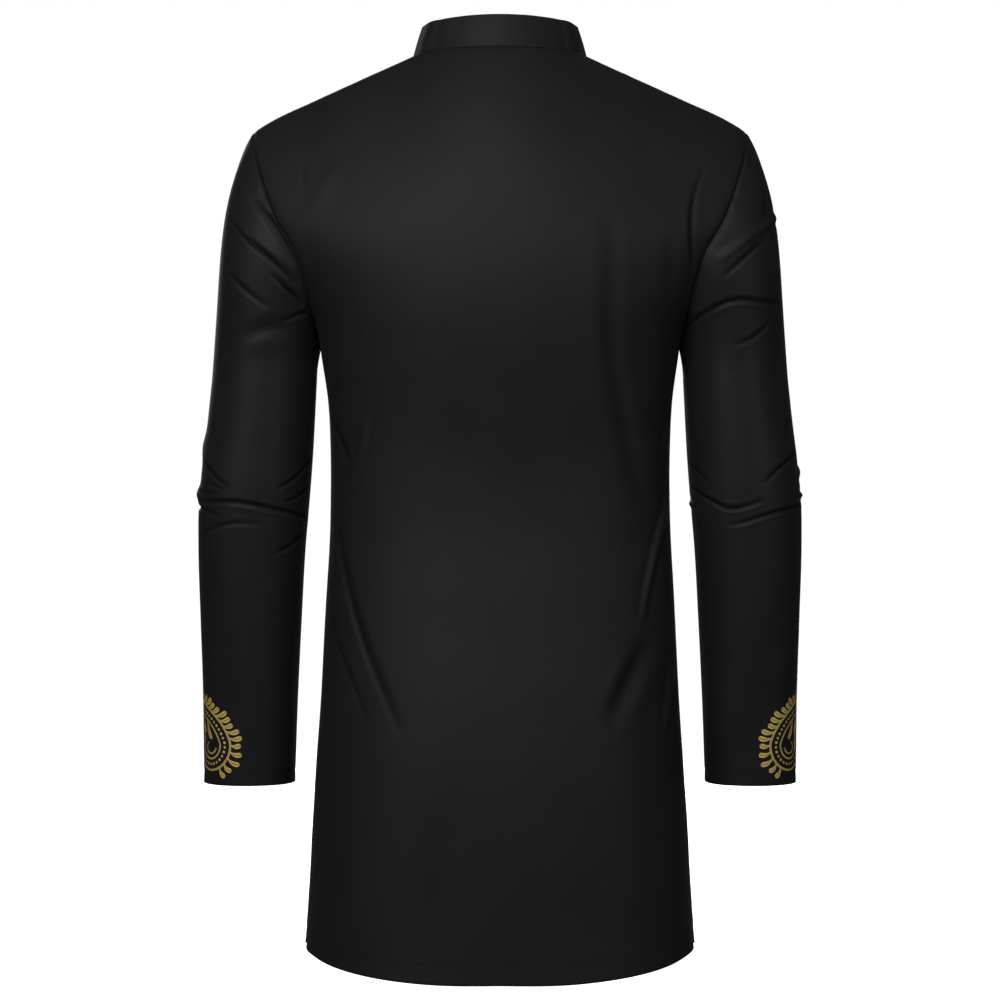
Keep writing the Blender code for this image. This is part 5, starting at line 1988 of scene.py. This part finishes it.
@dataclass
class PlacketStrip(ClothPiece):
    """A strip of the neck opening, laid over or under the front panel."""

    form: BodyForm
    node: str
    outer: bool
    flat: tuple[float, float] = (0.038, 0.284)
    half_width: float = 16.5
    end_z: float = -330
    top_drop: float = 1
    layer_gap: float = 0.35
    wall: float = 1.1
    panel_wall: float = 1.3
    step: float = 3
    length: float = 284
    edge_inset: float = 2
    box_rows: Pair = (2, 22)
    stitch_dip: float = 0.14
    wave_height: float = 0.12
    wave_length: float = 34
    columns: int = 13
    sheet: ClothSheet = field(init=False)

    def heights(self) -> Array:
        """Return the heights of the strip's rows from its lower end to the neckline."""
        top = self.form.neckline(Side.FRONT, np.array([0]))[0, 2] - self.top_drop
        return np.linspace(self.end_z, top, round(self.length / self.step))

    def shape(self) -> None:
        """Lay the strip on the front, moved out or in by its place among the layers."""
        across = np.linspace(-self.half_width, self.half_width, self.columns)
        rows = []
        for height in self.heights():
            if height < self.form.chest_z:
                section = self.form.section(Side.FRONT, height, np.linspace(0, 0.2, 41))
                depth = np.interp(np.abs(across), section[:, 0], section[:, 1])
                rows.append(np.stack([across, depth, np.full_like(across, height)], axis=1))
            else:
                line = self.form.on_body(Side.FRONT, np.abs(across), np.full_like(across, height))
                line[:, 0] = across
                rows.append(line)
        grid = np.array(rows)
        self.sheet = ClothSheet(grid, around=False, wall=self.wall)
        sheet = self.sheet
        under = -(self.panel_wall + self.layer_gap)
        lift = self.layer_gap + self.wall if self.outer else under
        from_side = np.minimum(sheet.across, sheet.across[:, -1:] - sheet.across)
        stitch = -self.stitch_dip * bell(from_side - self.edge_inset, 1.5)
        waves = gentle_waves(grid[..., 0], grid[..., 2], self.wave_length, 0.4)
        waves = self.wave_height * waves
        sheet.lift(lift + stitch + waves)
        # Painted shade and pucker beside the strip's edges.
        sheet.seam_shade_and_pucker = bell(from_side, 4)
        sheet.folded[:] = True

    def sew_lines(self, run: StitchRun) -> None:
        """Lay the edge stitches of the strip and the box of stitches at its lower end.

        Args:
            run: The stitches of the body.
        """
        sheet = self.sheet
        rows, columns = sheet.grid.shape[:2]
        levels = np.arange(1, rows - 1)
        for far in (False, True):
            run.sew(*sheet.sample(levels, sheet.columns_at(self.edge_inset, levels, far)))
        wide = np.linspace(0.8, columns - 1.8, 24)
        for above in self.box_rows:
            run.sew(*sheet.sample(np.full_like(wide, above / self.step), wide))


@dataclass
class ShirtButtons:
    """Four-hole buttons with a raised rim, sewn to the outer strip: one model and its copies."""

    strip: PlacketStrip
    finishes: Finishes
    radius: float = 5.75
    thickness: float = 2.3
    hole_radius: float = 0.75
    hole_spread: float = 1.35
    rim: float = 1.1
    rim_slope: float = 0.5
    dish: float = 0.6
    rounding: float = 0.35
    thread_radius: float = 0.28
    thread_sink: float = 0.35
    thread_twists: tuple[float, ...] = (-0.35, 0, 0.35)
    seat_gap: float = 0.12
    smooth_angle: float = 35
    heights: tuple[float, ...] = (-82, -152, -222)

    def seat(self, height: float) -> Matrix:
        """Return the move from the origin to a place on the strip.

        Args:
            height: Height of that place.

        Returns:
            The matrix, in metres.
        """
        sheet = self.strip.sheet
        middle = sheet.grid.shape[1] // 2
        heights = sheet.grid[:, middle, 2]
        row = np.interp(height, heights, np.arange(len(heights)))
        place, normal = sheet.sample(np.array([row]), np.array([float(middle)]))
        out = Vector(normal[0])
        side = Vector((0, 0, 1)).cross(out).normalized()
        turn = Matrix((side, out.cross(side), out)).transposed().to_4x4()
        return Matrix.Translation(Vector(place[0] * MM) + out * self.seat_gap * MM) @ turn

    def build(self) -> None:
        """Model one button, and seat a copy of it at each height."""
        model = self.model()
        for number, height in enumerate(self.heights, start=1):
            button = copy_of(model, self.seat(height))
            button.name = button.data.name = f"shirt_button_{number}"
            select_only(button)
            bpy.ops.object.shade_smooth_by_angle(angle=math.radians(self.smooth_angle))
            dress(button, self.finishes.resin, (f"button_{number}",))
            button.data.materials.append(self.finishes.thread)
        bpy.data.objects.remove(model, do_unlink=True)

    def model(self) -> Object:
        """Model the button flat at the origin.

        Returns:
            The button.
        """
        select_only()
        bpy.ops.mesh.primitive_cylinder_add(
            vertices=48, radius=self.radius * MM, depth=self.thickness * MM,
            location=(0, 0, self.thickness * MM / 2),
        )
        disc = bpy.context.object
        bpy.ops.object.mode_set(mode="EDIT")
        bpy.ops.mesh.select_all(action="DESELECT")
        bpy.ops.mesh.select_mode(type="FACE")
        bpy.ops.object.mode_set(mode="OBJECT")
        for polygon in disc.data.polygons:
            polygon.select = polygon.normal.z > 0.9
        bpy.ops.object.mode_set(mode="EDIT")
        bpy.ops.mesh.inset(thickness=self.rim * MM, depth=0)
        bpy.ops.mesh.inset(thickness=self.rim_slope * MM, depth=-self.dish * MM)
        bpy.ops.object.mode_set(mode="OBJECT")
        bevel = disc.modifiers.new("rounded", "BEVEL")
        bevel.width = self.rounding * MM
        bevel.segments = 3
        bevel.limit_method = "ANGLE"
        bpy.context.view_layer.objects.active = disc
        bpy.ops.object.modifier_apply(modifier="rounded")
        self.drill(disc)
        self.sew(disc)
        return disc

    def drill(self, disc: Object) -> None:
        """Cut the four thread holes.

        Args:
            disc: The button.
        """
        select_only()
        bpy.ops.mesh.primitive_cylinder_add(
            vertices=16, radius=self.hole_radius * MM, depth=4 * self.thickness * MM
        )
        drill = bpy.context.object
        for across in (-1, 1):
            for up in (-1, 1):
                drill.location = (across * self.hole_spread * MM, up * self.hole_spread * MM, 0)
                cut = disc.modifiers.new("hole", "BOOLEAN")
                cut.operation = "DIFFERENCE"
                cut.solver = "EXACT"
                cut.object = drill
                select_only(disc)
                bpy.ops.object.modifier_apply(modifier="hole")
        bpy.data.objects.remove(drill, do_unlink=True)

    def sew(self, disc: Object) -> None:
        """Add the two bars of thread that cross the button between its holes.

        Args:
            disc: The button.
        """
        select_only()
        bpy.ops.mesh.primitive_torus_add(
            major_segments=20, minor_segments=8, major_radius=self.hole_spread * MM,
            minor_radius=self.thread_radius * MM, rotation=(math.pi / 2, 0, 0),
        )
        loop = bpy.context.object
        for material in (None, self.finishes.thread):
            loop.data.materials.append(material)
        for polygon in loop.data.polygons:
            polygon.material_index = 1
        turn = loop.matrix_world.copy()
        height = (self.thickness - self.dish - self.thread_sink) * MM
        places = [up * self.hole_spread + twist for up in (-1, 1) for twist in self.thread_twists]
        bars = [
            copy_of(loop, Matrix.Translation((0, place * MM, height)) @ turn) for place in places
        ]
        bpy.data.objects.remove(loop, do_unlink=True)
        disc.data.transform(disc.matrix_world)
        disc.matrix_world = Matrix.Identity(4)
        select_only(*bars, disc)
        bpy.ops.object.join()


@dataclass
class Studio:
    """The pale floor, the soft lights and the camera behind the shirt."""

    floor_z: float = -0.935
    floor_reach: float = 60
    camera_distance: float = 2.5
    camera_z: float = -0.42
    view_width: float = 0.95
    sensor: float = 36
    white: float = 1
    fill: float = 0.04

    def build(self) -> None:
        """Set the room, the lights and the camera."""
        bpy.context.scene.view_settings.view_transform = "Standard"
        self.world()
        self.floor()
        lamps = (
            ("key", (0.45, 2.1, 0.95), (0, 0.1, -0.25), 1.7, 40, True),
            ("soft_left", (1.9, 2.6, 0.4), (0.1, 0, -0.35), 1.6, 19, True),
            ("soft_right", (-1.9, 2.6, 0.2), (-0.1, 0, -0.4), 1.6, 16, True),
            ("overhead", (0, 0.9, 2.4), (0, 0, -0.2), 1.8, 2, True),
            ("front_key", (-0.5, -2.3, 0.5), (0, -0.1, -0.3), 1.5, 60, False),
            ("front_side", (1, -2.6, 0.5), (0.1, 0, -0.4), 1.5, 9, True),
        )
        for name, place, target, size, power, shine in lamps:
            self.lamp(name, Vector(place), Vector(target), size, power, shine)
        self.camera()

    def world(self) -> None:
        """Make the surroundings white to the eye and a low fill for the lighting."""
        world = bpy.data.worlds.new("studio")
        world.use_nodes = True
        bpy.context.scene.world = world
        nodes = NodeTree(world.node_tree)
        back = world.node_tree.nodes["Background"]
        back.inputs["Color"].default_value = (1, 1, 1, 1)
        seen = nodes.add("ShaderNodeLightPath").outputs["Is Camera Ray"]
        level = nodes.math("MULTIPLY_ADD", seen, self.white - self.fill, self.fill)
        nodes.feed(level, back.inputs["Strength"])

    def floor(self) -> None:
        """Lay the pale floor."""
        select_only()
        bpy.ops.mesh.primitive_plane_add(size=self.floor_reach, location=(0, 0, self.floor_z))
        floor = bpy.context.object
        floor.name = "studio_floor"
        finish = Finish("studio_white")
        finish.set(
            Base_Color=(0.9, 0.9, 0.9, 1),
            Roughness=1,
            Specular_IOR_Level=0,
            Emission_Color=(1, 1, 1, 1),
            Emission_Strength=self.white,
        )
        floor.data.materials.append(finish.made)
        floor.visible_glossy = False
        floor.visible_diffuse = False

    def lamp(
        self, name: str, place: Vector, target: Vector, size: float, power: float, shine: bool
    ) -> None:
        """Hang one soft light.

        Args:
            name: Its name.
            place: Where it hangs.
            target: What it points at.
            size: Its side.
            power: Its power.
            shine: Whether the cloth mirrors it.
        """
        data = bpy.data.lights.new(name, "AREA")
        data.shape = "SQUARE"
        data.size = size
        data.energy = power
        lamp = bpy.data.objects.new(name, data)
        lamp.location = place
        lamp.rotation_euler = (target - place).to_track_quat("-Z", "Y").to_euler()
        lamp.visible_camera = False
        lamp.visible_glossy = shine
        bpy.context.scene.collection.objects.link(lamp)

    def camera(self) -> None:
        """Place the camera level behind the shirt."""
        data = bpy.data.cameras.new("camera")
        data.sensor_width = self.sensor
        data.lens = self.sensor * self.camera_distance / self.view_width
        eye = bpy.data.objects.new("camera", data)
        eye.location = (0, self.camera_distance, self.camera_z)
        eye.rotation_euler = (math.pi / 2, 0, math.pi)
        bpy.context.scene.collection.objects.link(eye)
        bpy.context.scene.camera = eye


def main() -> None:
    """Build the shirt's pieces in order, dress them and set the studio."""
    logging.basicConfig(level=logging.INFO, format="%(message)s")
    finishes = Finishes.make()
    form = BodyForm()
    back = BodyPanel(form, Side.BACK, "back_panel", BACK_CREASES, (0.516, 0.893), 0.418)
    front = BodyPanel(form, Side.FRONT, "front_panel", FRONT_CREASES, (0.506, 0.868), 0.395)
    sleeve_form = SleeveForm(form)
    left = Sleeve(sleeve_form, Hand.LEFT, "sleeve_left", LEFT_SLEEVE_CREASES, (0.400, 0.622), 0.196)
    right = Sleeve(
        sleeve_form, Hand.RIGHT, "sleeve_right", RIGHT_SLEEVE_CREASES, (0.400, 0.622), 0.196
    )
    collar = CollarStand(form)
    over = PlacketStrip(form, "placket_over", outer=True)
    under = PlacketStrip(form, "placket_under", outer=False)
    body_stitches = StitchRun(StitchSizes())
    for part in (back, front, collar, over):
        part.shape()
        part.sew_lines(body_stitches)
    under.shape()
    body_pieces = {
        part.node: part.build(finishes.body) for part in (back, front, collar, over, under)
    }
    sewing = dress(body_stitches.finish("stitching_body"), finishes.thread)
    for sleeve in (left, right):
        sleeve.shape()
        piece = sleeve.build(finishes.sleeve)
        run = StitchRun(StitchSizes())
        sleeve.sew_lines(run)
        name = "stitching_sleeve_" + sleeve.hand.name.lower()
        hem = dress(run.finish(name), finishes.thread)
        spray = SPRAY_PLACES[sleeve.hand.name.lower()]
        print_piece = CuffPrint(sleeve, spray_around=spray).build(finishes.gold)
    ShirtButtons(over, finishes).build()
    Studio().build()


if __name__ == "__main__":
    main()
